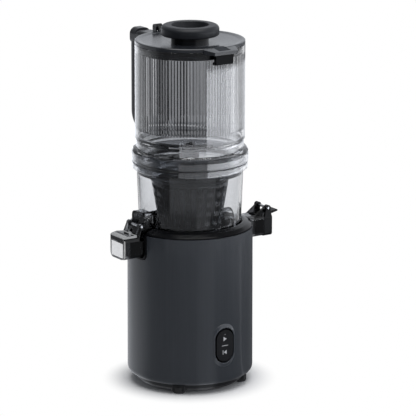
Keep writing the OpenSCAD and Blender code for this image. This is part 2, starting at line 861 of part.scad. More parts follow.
module gearbox_cover() {
    hub_r = output_bearing_r + 3;
    z = cover_top - cover_t;
    color(slate) difference() {
        union() {
            disc(case_r, z, cover_top);
            disc(hub_r, bearing_low_z - 1.6, bearing_high_z + output_bearing_w);
            translate([0, centre_distance, 0]) disc(7, bearing_low_z, cover_top);
        }
        disc(output_bearing_r + press, bearing_low_z, bearing_high_z + output_bearing_w + 1);
        disc(drive_r + 2, bearing_low_z - 3, bearing_low_z + 1);
        translate([0, centre_distance, 0]) disc(idler_bore + press, 0, cover_top - 1);
        around(4, gearbox_ring, 45) disc(2 + run, z - 1, cover_top + 1);
    }
}

module gearbox_screws() {
    color(steel) around(4, gearbox_ring, 45) {
        disc(3.5, case_z, case_z + 3);
        disc(2, case_z + 3 - eps, cover_top + 8);
    }
}

module shaft_seal() {
    color(rubber) ring(drive_r + run, 11.2, deck_z - deck_t + 0.5, deck_z + 2.5);
}

// ---- Bowl ----

// Block of a lug: a ring sector seen from above
module lug(r_in, r_out, z0, z1, sweep) {
    rotate([0, 0, -sweep / 2]) translate([0, 0, z0])
        rotate_extrude(angle = sweep, $fn = 180) translate([r_in, 0]) square([r_out - r_in, z1 - z0]);
}

module bowl_wall_profile() {
    wall_in = bowl_r_low - bowl_wall;
    polygon([
        [seal_r, bowl_z], [seal_r, floor_top + 1.5], [hub_in, floor_top + 1.5], [hub_in, bowl_z + hub_h],
        [hub_out + 0.4, bowl_z + hub_h], [hub_out + 0.4, floor_top], [wall_in - 4, floor_top],
        [wall_in - 1.2, floor_top + 1.2], [wall_in, floor_top + 4],
        [bowl_r_at(ledge_z) - bowl_wall - 0.6, ledge_z - 3], [bowl_r_at(ledge_z) - bowl_wall - 0.6, ledge_z],
        [bowl_in, ledge_z], [bowl_in, bowl_rim_z],
        [bowl_r_top + 0.1, bowl_rim_z], [bowl_r_top + 0.1, joint_z], [bowl_flange_r - 0.6, joint_z],
        [bowl_flange_r, joint_z - 0.7], [bowl_flange_r, joint_z - 7.4], [bowl_flange_r - 0.8, joint_z - 8.2],
        [bowl_flange_r - 2.2, joint_z - 8.2], [bowl_flange_r - 2.2, joint_z - 3], [bowl_r_top, joint_z - 3],
        [bowl_r_top, joint_z - 8], [bowl_r_low + 0.2, bowl_z + 5], [bowl_r_low - 1.1, bowl_z + 1.2],
        [bowl_r_low - 4, bowl_z], [bowl_r_low - 6.6, bowl_z], [bowl_r_low - 6.6, deck_z],
        [bowl_r_low - 9.6, deck_z], [bowl_r_low - 9.6, bowl_z]
    ]);
}

module juice_bowl() {
    color(smoke) difference() {
        union() {
            rotate_extrude($fn = 180) bowl_wall_profile();
            for (a = [30:120:270]) rotate([0, 0, a])
                lug(bowl_r_top - 0.2, bowl_r_top + 2.8, joint_z + 4, joint_z + 7, lug_sweep);
            difference() {
                union() {
                    along_x(-spout_reach, -bowl_r_low + 1)
                        translate([0, spout_z]) trough(spout_w, spout_h, spout_corner);
                    along_x(-arch_out, -bowl_r_low + 1) translate([0, spout_z + spout_h - 2])
                        arch(arch_w, arch_top - spout_z - spout_h + 2, spout_corner);
                    along_x(bowl_r_low - 1, pulp_reach)
                        translate([0, pulp_z]) rounded(pulp_w, pulp_h, spout_corner - 1);
                    pulp_ears();
                }
                disc(bowl_r_low - 0.5, deck_z, joint_z);
            }
            juice_ears();
            difference() {
                along_x(tunnel_in, bowl_r_low - 1) translate([0, bowl_z + 1])
                    arch(tunnel_w, tunnel_top - bowl_z - 1, tunnel_w / 2 - eps);
                disc(hub_out, 0, joint_z);
            }
        }
        // Juice channel, open to the bowl at its lower end and to the hollow arch above it
        along_x(-spout_reach - 1, -bowl_r_low - 1) translate([0, spout_z + spout_wall])
            trough(spout_w - 2 * spout_wall, spout_h, spout_corner - 2);
        along_x(-bowl_r_low - 2, -bowl_r_low + 6) translate([0, spout_z + spout_wall + 0.4])
            rounded(16, 12, 3);
        along_x(-arch_out + spout_wall, -bowl_r_low - 1.6) translate([0, spout_z + spout_h - 3])
            arch(arch_w - 2 * spout_wall, arch_top - spout_z - spout_h + 3 - spout_wall, spout_corner - 2);
        // Pulp way, from the tunnel's mouth to the tube's end
        along_x(tunnel_in - 1, bowl_r_low - bowl_wall - 1) translate([0, floor_top + 0.6])
            arch(tunnel_w - 2 * spout_wall, tunnel_top - spout_wall - floor_top - 0.6,
                tunnel_w / 2 - spout_wall - eps);
        along_x(bowl_r_low - bowl_wall - 2, pulp_reach + 1) translate([0, pulp_z + spout_wall])
            rounded(pulp_w - 2 * spout_wall, pulp_h - 2 * spout_wall, spout_corner - 3);
        along_y(-spout_w, spout_w) translate([juice_hinge[0], juice_hinge[2]]) circle(pin_r + press);
        along_y(-pulp_w, pulp_w) translate([pulp_hinge[0], pulp_hinge[2]]) circle(pin_r + press);
    }
}

// Ears on the arch that carry the juice cap's pin
module juice_ears() {
    pair_of_plates(ear_in) {
        translate([juice_hinge[0], juice_hinge[2]]) circle(knuckle_r, $fn = 48);
        translate([juice_hinge[0], juice_hinge[2] - knuckle_r])
            square([-juice_hinge[0] - arch_out + 0.5, 2 * knuckle_r]);
    }
}

// Ears on the pulp tube that carry the pulp cap's pin
module pulp_ears() {
    x = pulp_hinge[0];
    z = pulp_hinge[2];
    pair_of_plates(pulp_ear) {
        translate([x, z]) circle(knuckle_r, $fn = 48);
        polygon([
            [pulp_reach - 12, pulp_top - 1], [pulp_reach - 0.5, pulp_top - 1], [pulp_reach, pulp_top + 1.6],
            [x + knuckle_r * 0.7, z - knuckle_r * 0.7], [x - knuckle_r * 0.7, z + knuckle_r * 0.7]
        ]);
    }
}

module bowl_seal() {
    color(rubber) ring(auger_shank_r + fit, seal_r - press, bowl_z - 0.5, floor_top + 1.5);
}

module strainer_basket() {
    flange_r = bowl_in - fit;
    color([0.25, 0.26, 0.28, 0.8]) difference() {
        rotate_extrude($fn = 120) polygon([
            [flange_r, ledge_z], [flange_r, ledge_z + 2], [flange_r - 2, ledge_z + 2],
            [strainer_r_top + 1.4, strainer_top_z + 4],
            [strainer_r_at(strainer_top_z) - strainer_t, strainer_top_z],
            [strainer_r_low - strainer_t, strainer_foot_z], [strainer_r_low, strainer_foot_z],
            [strainer_r_at(strainer_top_z), strainer_top_z - 1],
            [strainer_r_top + 2.4, strainer_top_z + 2], [flange_r - 3, ledge_z]
        ]);
        for (i = [0:window_count - 1]) rotate([0, 0, (i + 0.5) * 360 / window_count])
            translate([strainer_r_low - 6, -window_w / 2, window_low])
                cube([24, window_w, window_high - window_low]);
        along_x(0, strainer_r_at(base_h) + 4)
            translate([0, strainer_foot_z - 1]) rounded(tunnel_w - 8, 20, 4);
    }
}

module filter_screen() {
    z0 = window_low - 4;
    z1 = window_high + 3;
    r0 = strainer_r_at(z0) - strainer_t - 0.05;
    r1 = strainer_r_at(z1) - strainer_t - 0.05;
    color(steel) rotate_extrude($fn = 120)
        polygon([[r0, z0], [r1, z1], [r1 - screen_t, z1], [r0 - screen_t, z0]]);
}

// ---- Auger ----

// A helical band: rings of four points from angle 0 to its full turn, joined by triangles
module helix_band(z0, z1, turn, t_in, t_out, r_in, r_out, steps) {
    rings = [for (i = [0:steps])
        let (u = i / steps, z = z0 + (z1 - z0) * u, a = turn * u,
             ri = r_in[0] + (r_in[1] - r_in[0]) * u, ro = r_out[0] + (r_out[1] - r_out[0]) * u,
             d = [cos(a), sin(a)])
        [[ri * d[0], ri * d[1], z - t_in / 2], [ro * d[0], ro * d[1], z - t_out / 2],
         [ro * d[0], ro * d[1], z + t_out / 2], [ri * d[0], ri * d[1], z + t_in / 2]]];
    points = [for (section = rings) for (p = section) p];
    walls = [for (i = [0:steps - 1], k = [0:3], half = [0, 1])
        let (a = 4 * i + k, b = 4 * i + (k + 1) % 4)
        half == 0 ? [b, a, a + 4] : [b, a + 4, b + 4]];
    last = 4 * steps;
    polyhedron(points, concat(walls, [[0, 1, 2, 3], [last + 3, last + 2, last + 1, last]]));
}

module auger_core() {
    socket_af = hex_af + 2 * fit;
    color(black) difference() {
        rotate_extrude() polygon([
            [0, bowl_z + 0.8], [auger_shank_r, bowl_z + 0.8], [auger_shank_r, bowl_z + hub_h + 0.6],
            [hub_out + 1, bowl_z + hub_h + 0.6], [hub_out + 1, floor_top + 1],
            [auger_core_r, floor_top + 1], [auger_core_r, core_top_z],
            [auger_tip_r, auger_tip_z - 4], [auger_tip_r - 4, auger_tip_z], [0, auger_tip_z]
        ]);
        hexagon(socket_af + 2 * socket_wall, bowl_z, hex_top + 2);
    }
}

// Hexagonal metal sleeve that the drive shaft enters
module auger_socket() {
    color(steel) difference() {
        hexagon(hex_af + 2 * fit + 2 * socket_wall - 0.02, bowl_z + 0.8, hex_top + 2);
        hexagon(hex_af + 2 * fit, bowl_z - 1, hex_top + 0.8);
    }
}

module auger_flights() {
    root = auger_core_r + 0.04;
    color(black) for (i = [0:flight_count - 1]) rotate([0, 0, i * 360 / flight_count])
        helix_band(flight_z0, flight_z1, flight_turn, 2 * flight_t, flight_t, [root, root],
            [flight_r_at(flight_z0), flight_r_at(flight_z1)], 42);
}

// The wide wing over the auger that draws food down out of the hopper
module cutting_wing() {
    z0 = core_top_z + 4;
    z1 = auger_tip_z - 6;
    cone = (auger_core_r - auger_tip_r) / (auger_tip_z - 4 - core_top_z);
    root_low = auger_core_r - cone * (z0 - 3 - core_top_z) + 0.1;
    root_high = auger_core_r - cone * (z1 - 3 - core_top_z) + 0.1;
    color(black) helix_band(z0, z1, 250, 6, 3, [root_low, root_high], [wing_r_low, wing_r_high], 36);
}

// ---- Caps of the spouts ----

module juice_cap() {
    x = juice_hinge[0];
    z = juice_hinge[2];
    lid_low = spout_z + spout_h + fit + seal_t;
    arm_in = ear_in + ear_t + fit;
    color(smoke) difference() {
        union() {
            // End plate and hood in one moulding
            along_x(-spout_reach - fit - cap_t, -spout_reach - fit)
                translate([0, spout_z + 0.5]) trough(spout_w, lid_low + cap_t - spout_z - 0.5, spout_corner);
            along_y(-spout_w / 2, spout_w / 2) polygon([
                [-spout_reach - fit - cap_t + eps, lid_low], [x - 3.4, lid_low], [x - 3.4, lid_low + 3.4],
                [-spout_reach + 6, lid_low + 4.6], [-spout_reach, lid_low + 3.6],
                [-spout_reach - fit - cap_t + eps, lid_low + cap_t]
            ]);
            pair_of_plates(arm_in) {
                translate([x, z]) circle(knuckle_r, $fn = 48);
                polygon([
                    [x - knuckle_r, z], [x, z - knuckle_r], [x - 3.4, lid_low + 0.5], [x - 9, lid_low + 0.5]
                ]);
            }
        }
        along_y(-spout_w, spout_w) translate([x, z]) circle(pin_r + run);
    }
}

module juice_cap_seal() {
    x = juice_hinge[0] - 3.4;
    lid_low = spout_z + spout_h + fit + seal_t;
    color(rubber) difference() {
        translate([-spout_reach - fit + 0.02, -spout_w / 2, lid_low - seal_t])
            cube([x + spout_reach + fit, spout_w, seal_t]);
        translate([-spout_reach + spout_wall + 2, -spout_w / 2 + 5, lid_low - seal_t - 1])
            cube([x + spout_reach - 9, spout_w - 10, seal_t]);
    }
}

module cross_pin(hinge, half) {
    color(steel) along_y(-half, half) translate([hinge[0], hinge[2]]) circle(pin_r, $fn = 48);
}

module juice_cap_pin() {
    cross_pin(juice_hinge, ear_in + 2 * ear_t + fit);
}

module pulp_cap() {
    x = pulp_hinge[0];
    z = pulp_hinge[2];
    arm_in = pulp_ear + ear_t + fit;
    back = pulp_reach + fit;
    top = pulp_top - 0.4;
    color(black) difference() {
        union() {
            along_x(back, back + pulp_cap_t)
                translate([0, pulp_z - 0.5]) rounded(pulp_w, top - pulp_z + 0.5, spout_corner - 2);
            pair_of_plates(arm_in) {
                translate([x, z]) circle(knuckle_r, $fn = 48);
                polygon([
                    [x - 3, z], [x + 3, z], [back + pulp_cap_t, top - 6], [back + pulp_cap_t, top - 8],
                    [back, top - 8], [back, top - 4]
                ]);
            }
            // Finger tab
            along_y(-tab_half, tab_half) polygon([
                [back + pulp_cap_t - 3, top - 1], [back + pulp_cap_t - 0.5, top - 1],
                [back + pulp_cap_t + tab_reach - 1, top + 1.4], [back + pulp_cap_t + tab_reach, top + 2.4],
                [back + pulp_cap_t + tab_reach - 1, top + 3.6], [back + pulp_cap_t - 1, top + 2.6]
            ]);
        }
        along_x(back - 1, back + pulp_cap_t - 2)
            translate([0, pulp_z + 2]) rounded(pulp_w - 5, top - pulp_z - 4.5, spout_corner - 4);
        along_y(-pulp_w, pulp_w) translate([x, z]) circle(pin_r + run);
    }
}

// Plug that closes the end of the pulp tube
module pulp_cap_seal() {
    back = pulp_reach + fit;
    top = pulp_top - 0.4;
    color(rubber) along_x(back + 0.3, back + pulp_cap_t - 2.02) translate([0, pulp_z + 2.1])
        rounded(pulp_w - 5.2, top - pulp_z - 4.7, spout_corner - 4.1);
}

module pulp_cap_pin() {
    cross_pin(pulp_hinge, pulp_ear + 2 * ear_t + fit);
}

// ---- Hopper ----

module hopper_profile() {
    barrel_in = hopper_r - hopper_wall;
    channel_r = hopper_flange_r - 2.6;
    channel_top = bowl_rim_z + 3;
    polygon([
        [hopper_r - 0.6, hopper_z], [barrel_in, hopper_z], [barrel_in, joint_z + 32],
        [throat_r, joint_z + 22], [throat_r, joint_z - 4], [throat_r + 2.5, joint_z - 4],
        [throat_r + 2.5, channel_top], [channel_r, channel_top], [channel_r, joint_z],
        [hopper_flange_r - 0.3, joint_z],
        [hopper_flange_r - 0.1, joint_z + 1.2], [hopper_flange_r, joint_z + 9],
        [hopper_flange_r - 0.4, joint_z + 12.4], [hopper_flange_r - 1.8, joint_z + 15],
        [hopper_flange_r - 3.6, joint_z + 16],
        [hopper_r - 1.2, joint_z + 16.4], [hopper_r - 1.2, joint_z + 26.4], [hopper_r, joint_z + 28],
        [hopper_r, hopper_z - 0.6]
    ]);
}

// Cutter of the flutes: a star that leaves a narrow land of the bore between two grooves
module flute_star() {
    barrel_in = hopper_r - hopper_wall;
    polygon([for (i = [0:2 * flute_count - 1])
        let (a = i * 180 / flute_count, r = barrel_in + (i % 2 == 0 ? -0.2 : flute_depth))
        r * [cos(a), sin(a)]]);
}

// The flutes run up the inside of the barrel, from its foot to the lid's skirt
module hopper() {
    color(smoke) union() {
        difference() {
            rotate_extrude($fn = 180) hopper_profile();
            translate([0, 0, flute_z]) linear_extrude(hopper_z - skirt_depth - flute_z) flute_star();
        }
        for (a = [30:120:270]) rotate([0, 0, a])
            lug(bowl_r_top + 0.7, hopper_flange_r - 2.4, joint_z + 0.5, joint_z + 3.6, lug_sweep);
        // Catch rib over the latch's hook
        rotate([0, 0, -90]) lug(hopper_r - 0.3, hopper_r + catch_rise, hook_z + 3.4, hook_z + 5.6, 18);
    }
}

module hopper_gasket() {
    color(rubber) ring(throat_r + 2.5 + press, bowl_in - fit, joint_z - 3, joint_z + 1);
}

// Section of the handle's bar: a rounded rectangle about the origin
module grip_section() {
    translate([0, -handle_w / 2]) rounded(grip_t, handle_w, 4.5);
}

module handle() {
    bar = grip_t / 2;
    top_r = 13;
    low_r = 18;
    grip_y = handle_reach - bar;
    top_z = handle_high - bar;
    low_z = handle_low + bar;
    color(black) difference() {
        union() {
            // Grip, then the corner and arm above it and below it
            translate([0, grip_y, low_z + low_r]) linear_extrude(top_z - top_r - low_z - low_r)
                rotate([0, 0, 90]) grip_section();
            translate([0, grip_y - top_r, top_z - top_r]) rotate([90, 0, 90])
                rotate_extrude(angle = 90) translate([top_r, 0]) grip_section();
            translate([0, grip_y - low_r, low_z + low_r]) rotate([90, 0, 90])
                rotate([0, 0, -90]) rotate_extrude(angle = 90) translate([low_r, 0]) grip_section();
            translate([0, grip_y - top_r, top_z]) rotate([90, 0, 0])
                linear_extrude(grip_y - top_r - hopper_r + 6) rotate([0, 0, 90]) grip_section();
            translate([0, grip_y - low_r, low_z]) rotate([90, 0, 0])
                linear_extrude(grip_y - low_r - hopper_r + 6) rotate([0, 0, 90]) grip_section();
            // Rounded crown over the grip
            along_y(handle_reach - grip_t, handle_reach) translate([0, top_z - top_r])
                rounded(handle_w, top_r + bar + grip_rise, 8);
            // Back plate along the hopper
            translate([-handle_w / 2 + 1, hopper_r - 6, handle_low + 1])
                cube([handle_w - 2, 11, handle_high - handle_low - 2]);
            // Ears of the lid's hinge
            for (x = [-hinge_half - fit - hinge_ear_t, hinge_half + fit]) along_x(x, x + hinge_ear_t) {
                translate([lid_hinge[1], lid_hinge[2]]) circle(hinge_knuckle_r, $fn = 48);
                translate([lid_hinge[1] - hinge_knuckle_r, handle_high - 3])
                    square([2 * hinge_knuckle_r, lid_hinge[2] - handle_high + 3]);
            }
        }
        disc(handle_seat, joint_z, hopper_z - 1);
        disc(handle_seat + 0.6, hopper_z - 2, lid_z + 20);
        along_x(-handle_w, handle_w) translate([lid_hinge[1], lid_hinge[2]]) circle(pin_r + press);
    }
}

module lid_hinge_pin() {
    color(steel) along_x(-hinge_half - fit - hinge_ear_t, hinge_half + fit + hinge_ear_t)
        translate([lid_hinge[1], lid_hinge[2]]) circle(pin_r, $fn = 48);
}

// ---- Lid ----

module lid() {
    dish = 2.6;
    color(slate) difference() {
        union() {
            rotate_extrude($fn = 180) polygon([
                [feed_r, lid_z - dish], [neck_r + 4, lid_z - dish], [hopper_r - 8, lid_z - 1],
                [hopper_r - 3, lid_z],
                [hopper_r - 0.8, lid_z], [hopper_r, lid_z - 0.8], [hopper_r, hopper_z + 0.05],
                [skirt_r, hopper_z + 0.05], [skirt_r, hopper_z - skirt_depth],
                [skirt_r - skirt_wall, hopper_z - skirt_depth],
                [skirt_r - skirt_wall, hopper_z - 1], [skirt_r - skirt_wall - 3, lid_z - dish - 2.4],
                [feed_r, lid_z - dish - 2.4]
            ]);
            ring(feed_r, neck_r, lid_z - dish - 6, collar_z + 2);
            // Press tongue at the front
            tongue();
            // Strap and knuckle of the hinge at the back
            along_x(-hinge_half, hinge_half) {
                translate([lid_hinge[1], lid_hinge[2]]) circle(hinge_knuckle_r, $fn = 48);
                polygon([
                    [hopper_r - 8, lid_z - 1.6], [hopper_r - 0.4, lid_z - 3],
                    [lid_hinge[1] - 2.4, lid_hinge[2] - 2.6], [lid_hinge[1], lid_hinge[2] + hinge_knuckle_r],
                    [lid_hinge[1] - 3, lid_hinge[2] + 2.4]
                ]);
            }
        }
        // Pocket of the press pad, and the way down for the leg outside the hopper's wall
        translate([-latch_half - latch_gap, latch_leg[0] + 1, hopper_z + latch_floor])
            cube([2 * (latch_half + latch_gap), latch_back + 0.8 - latch_leg[0] - 1, lid_rim_t + 1]);
        translate([-latch_half - latch_gap, latch_leg[0] - 0.6, tongue_low - 1])
            cube([2 * (latch_half + latch_gap), latch_leg[1] - latch_leg[0] + 2.2, lid_rim_t + 5]);
        along_x(-hinge_half - 1, hinge_half + 1) translate([lid_hinge[1], lid_hinge[2]]) circle(pin_r + run);
        along_x(-latch_half - 4.1, latch_half + 4.1)
            translate([latch_pivot[1], latch_pivot[2]]) circle(rocker_pin_r + press);
    }
}

// The tongue that stands out over the hopper's rim, deeper beyond the hopper's wall
module tongue() {
    deep_r = hopper_r + 0.9;
    root_y = -(hopper_r - 1);
    difference() {
        intersection() {
            translate([0, 0, tongue_low]) linear_extrude(lid_z - tongue_low) polygon([
                [-tongue_half, -50], [-tongue_half, root_y], [-tongue_tip, -tongue_reach],
                [tongue_tip, -tongue_reach], [tongue_half, root_y], [tongue_half, -50]
            ]);
            rotate_extrude($fn = 180) polygon([
                [50, hopper_z + 0.05], [deep_r, hopper_z + 0.05], [deep_r, tongue_low],
                [tongue_reach + 5, tongue_low], [tongue_reach + 5, lid_z - 2.9],
                [tongue_reach, lid_z - 2.2], [hopper_r - 3, lid_z], [50, lid_z]
            ]);
        }
        disc(skirt_r - 1, 0, lid_z - 2);
    }
}

module lid_gasket() {
    color(rubber) ring(skirt_r + press, skirt_r + 0.9, hopper_z - 4.6, hopper_z - 1);
}

module feed_collar() {
    edge = 2.6;
    height = lid_z + collar_rise - collar_z;
    color(slate) translate([0, 0, collar_z]) rotate_extrude($fn = 120) polygon(concat(
        [[neck_r + press, 0], [collar_r - 1.2, 0], [collar_r, 1.2]],
        arc([collar_r - edge - 2.4, height - edge - 2.4], edge + 2.4, 0, 90, 6),
        [[feed_r + 2.9, height], [feed_r + 2.3, height - 0.8], [feed_r, height - 8], [feed_r, 2.02],
         [neck_r + press, 2.02]]));
}

// Press pad in the tongue, and a leg outside the hopper with a hook under the catch rib
module lid_latch() {
    outer = latch_leg[0];
    inner = latch_leg[1];
    pad_low = lid_z - latch_pad_t;
    hook = [[inner, hook_z + 3], [hook_y - 0.8, hook_z + 3], [hook_y, hook_z + 2.2], [hook_y, hook_z],
            [outer + 0.8, hook_z], [outer, hook_z + 0.8]];
    color(slate) difference() {
        union() {
            along_x(-latch_half, latch_half) polygon(concat(
                [[outer, lid_z - 2.8], [outer + 0.6, lid_z - 1.9], [-(hopper_r - 3), lid_z - 0.2],
                 [latch_back, lid_z - 0.2], [latch_back, pad_low], [inner + 2.6, pad_low],
                 [inner, pad_low - 1.4]], hook));
            along_x(-hook_half, hook_half)
                polygon(concat([[outer, tongue_low - 0.6], [inner, tongue_low - 0.6]], hook));
        }
        along_x(-latch_half - 1, latch_half + 1)
            translate([latch_pivot[1], latch_pivot[2]]) circle(rocker_pin_r + run);
    }
}

module latch_pin() {
    color(steel) along_x(-latch_half - 4, latch_half + 4)
        translate([latch_pivot[1], latch_pivot[2]]) circle(rocker_pin_r, $fn = 48);
}

base_shell();
bowl_seat();
base_plate();
rubber_feet();
base_screws();
switch_bezel();
switch_rocker();
rocker_pin();
switch_board();
control_board();
cord_gland();
safety_switch();
motor_mounts();
lower_bracket();
upper_bracket();
motor_can();
field_magnets();
motor_bearings();
carbon_brushes();
motor_shaft();
armature_core();
armature_windings();
commutator();
cooling_fan();
motor_pinion();
gearbox_case();
gearbox_cover();
gearbox_screws();
idler_gear();
idler_pin();
output_gear();
output_bearings();
drive_shaft();
shaft_seal();
juice_bowl();
bowl_seal();
strainer_basket();
filter_screen();
auger_core();
auger_flights();
cutting_wing();
auger_socket();
juice_cap();
juice_cap_seal();
juice_cap_pin();
pulp_cap();
pulp_cap_seal();
pulp_cap_pin();
hopper();
hopper_gasket();
handle();
lid_hinge_pin();
lid();
lid_gasket();
feed_collar();
lid_latch();
latch_pin();
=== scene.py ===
"""Looks of a cold press juicer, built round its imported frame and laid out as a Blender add-on."""

import math

import bmesh
import bpy
from bpy.props import FloatProperty, FloatVectorProperty, IntProperty, PointerProperty
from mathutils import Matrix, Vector


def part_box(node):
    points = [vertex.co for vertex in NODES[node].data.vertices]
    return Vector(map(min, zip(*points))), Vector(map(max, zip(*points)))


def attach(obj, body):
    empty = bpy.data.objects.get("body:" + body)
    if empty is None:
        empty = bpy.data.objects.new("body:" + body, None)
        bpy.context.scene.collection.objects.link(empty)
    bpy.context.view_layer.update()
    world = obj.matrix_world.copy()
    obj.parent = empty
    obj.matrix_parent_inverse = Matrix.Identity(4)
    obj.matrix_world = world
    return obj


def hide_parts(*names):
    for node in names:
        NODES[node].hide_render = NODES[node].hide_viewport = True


bl_info = {
    "name": "Cold press juicer looks",
    "version": (1, 0, 0),
    "blender": (4, 5, 0),
    "location": "View3D > Sidebar > Juicer",
    "description": "Dresses the packed juicer with its finishes, fine parts, lights and camera",
    "category": "Object",
}

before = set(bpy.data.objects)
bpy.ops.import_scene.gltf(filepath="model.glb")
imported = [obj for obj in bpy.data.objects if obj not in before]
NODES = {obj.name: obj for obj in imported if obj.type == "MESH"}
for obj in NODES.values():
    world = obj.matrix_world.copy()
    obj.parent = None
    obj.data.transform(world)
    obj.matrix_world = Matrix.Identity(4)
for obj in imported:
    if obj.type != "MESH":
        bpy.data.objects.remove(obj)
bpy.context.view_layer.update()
MM = 0.001

# Hopper: plastic nearer to the axis than INNER_RADIUS faces the food and is painted darker below the
# flutes as painted shade;
# the ledge under the flutes, painted darker still, lies between these two depths below the flutes' foot
INNER_RADIUS = 0.0585
LEDGE_TOP = 0.0085
LEDGE_FOOT = 0.0185


# ---------------------------------------------------------------- settings


class JuicerSizes(bpy.types.PropertyGroup):
    """Sizes that a user would change."""

    flute_count: IntProperty(
        name="Flutes", description="Number of flutes round the hopper", default=110, min=40, max=180
    )
    flute_foot: FloatProperty(
        name="Flutes start at", description="Height where the flutes start", default=0.3105, unit="LENGTH"
    )
    flute_top: FloatProperty(
        name="Flutes end at", description="Height where the flutes end", default=0.4006, unit="LENGTH"
    )
    upright_wires: IntProperty(
        name="Upright wires", description="Number of upright screen wires", default=96, min=24, max=160
    )
    hoops: IntProperty(
        name="Hoops", description="Number of hoops round the screen", default=27, min=5, max=60
    )
    icon_proud: FloatProperty(
        name="Icon height",
        description="Height of the printed switch icons over the rocker",
        default=0.00006,
        min=0.00002,
        max=0.0003,
        unit="LENGTH",
    )
    camera_distance: FloatProperty(
        name="Camera distance",
        description="Horizontal distance from the auger's axis to the camera",
        default=3.3,
        min=1.0,
        max=8.0,
        unit="LENGTH",
    )


class JuicerColours(bpy.types.PropertyGroup):
    """Colours of the finishes."""

    slate: FloatVectorProperty(
        name="Slate",
        description="Matt housing plastic",
        default=(0.0245, 0.029, 0.0365),
        size=3,
        subtype="COLOR",
    )
    black: FloatVectorProperty(
        name="Black",
        description="Black plastic",
        default=(0.004, 0.0044, 0.0055),
        size=3,
        subtype="COLOR",
    )
    lid: FloatVectorProperty(
        name="Lid",
        description="Satin lid plastic",
        default=(0.011, 0.0125, 0.0155),
        size=3,
        subtype="COLOR",
    )
    clear: FloatVectorProperty(
        name="Clear",
        description="Tint of the clear plastic",
        default=(0.83, 0.84, 0.86),
        size=3,
        subtype="COLOR",
    )
    strainer: FloatVectorProperty(
        name="Strainer",
        description="Tint of the smoky strainer plastic",
        default=(0.28, 0.295, 0.32),
        size=3,
        subtype="COLOR",
    )


def sizes():
    return bpy.context.scene.juicer_sizes


def colours():
    return bpy.context.scene.juicer_colours


def shade(colour, factor):
    """A darker or lighter form of a colour."""
    return tuple(min(1, c * factor) for c in colour)


# ---------------------------------------------------------------- node maths


class Value:
    """A node socket that can be used in an expression."""

    def __init__(self, nodes, socket):
        self.nodes = nodes
        self.socket = socket

    def math(self, operation, left, right=None):
        inputs = {0: left} if right is None else {0: left, 1: right}
        return self.nodes.node("ShaderNodeMath", {"operation": operation}, inputs)

    def __add__(self, other):
        return self.math("ADD", self, other)

    def __radd__(self, other):
        return self.math("ADD", other, self)

    def __sub__(self, other):
        return self.math("SUBTRACT", self, other)

    def __rsub__(self, other):
        return self.math("SUBTRACT", other, self)

    def __mul__(self, other):
        return self.math("MULTIPLY", self, other)

    def __rmul__(self, other):
        return self.math("MULTIPLY", other, self)

    def __truediv__(self, other):
        return self.math("DIVIDE", self, other)

    def __rtruediv__(self, other):
        return self.math("DIVIDE", other, self)

    def __lt__(self, other):
        return self.math("LESS_THAN", self, other)

    def __gt__(self, other):
        return self.math("GREATER_THAN", self, other)

    def sin(self):
        return self.math("SINE", self)

    def turn_to(self, other):
        """Angle of the point (other, self) about the origin, in radians."""
        return self.math("ARCTAN2", self, other)

    def clamped(self):
        return self.nodes.node("ShaderNodeClamp", {}, {"Value": self})

    def smooth(self, low, high):
        """0 below low, 1 above high and an eased step between."""
        return self.nodes.node(
            "ShaderNodeMapRange",
            {"interpolation_type": "SMOOTHSTEP"},
            {"Value": self, "From Min": low, "From Max": high},
        )

    def between(self, rise, fall):
        """1 between two eased steps, each (low, high), and 0 outside them."""
        return self.smooth(*rise) * (1 - self.smooth(*fall))


class Nodes:
    """Short ways to add nodes to a tree."""

    def __init__(self, tree):
        self.tree = tree

    def node(self, kind, settings, inputs, result=0):
        """Adds a node of this kind, with its settings and the values or links of its sockets."""
        made = self.tree.nodes.new(kind)
        for key, value in settings.items():
            setattr(made, key, value)
        for key, value in inputs.items():
            self.feed(made.inputs[key], value)
        return Value(self, made.outputs[result])

    def feed(self, socket, value):
        if isinstance(value, Value):
            self.tree.links.new(value.socket, socket)
        elif isinstance(value, tuple) and len(value) == 3 and socket.type == "RGBA":
            socket.default_value = (*value, 1)
        else:
            socket.default_value = value

    def end(self, kind, value):
        """Ends the tree in an output node."""
        self.feed(self.tree.nodes.new(kind).inputs[0], value)

    def split(self, vector):
        """The X, Y and Z of a vector."""
        first = self.node("ShaderNodeSeparateXYZ", {}, {0: vector})
        return [Value(self, socket) for socket in first.socket.node.outputs]

    def rays(self):
        """Whether a camera, a transmission or a glossy ray arrived."""
        outputs = self.node("ShaderNodeLightPath", {}, {}).socket.node.outputs
        kinds = ("Is Camera Ray", "Is Transmission Ray", "Is Glossy Ray")
        return [Value(self, outputs[kind]) for kind in kinds]


# ---------------------------------------------------------------- finishes


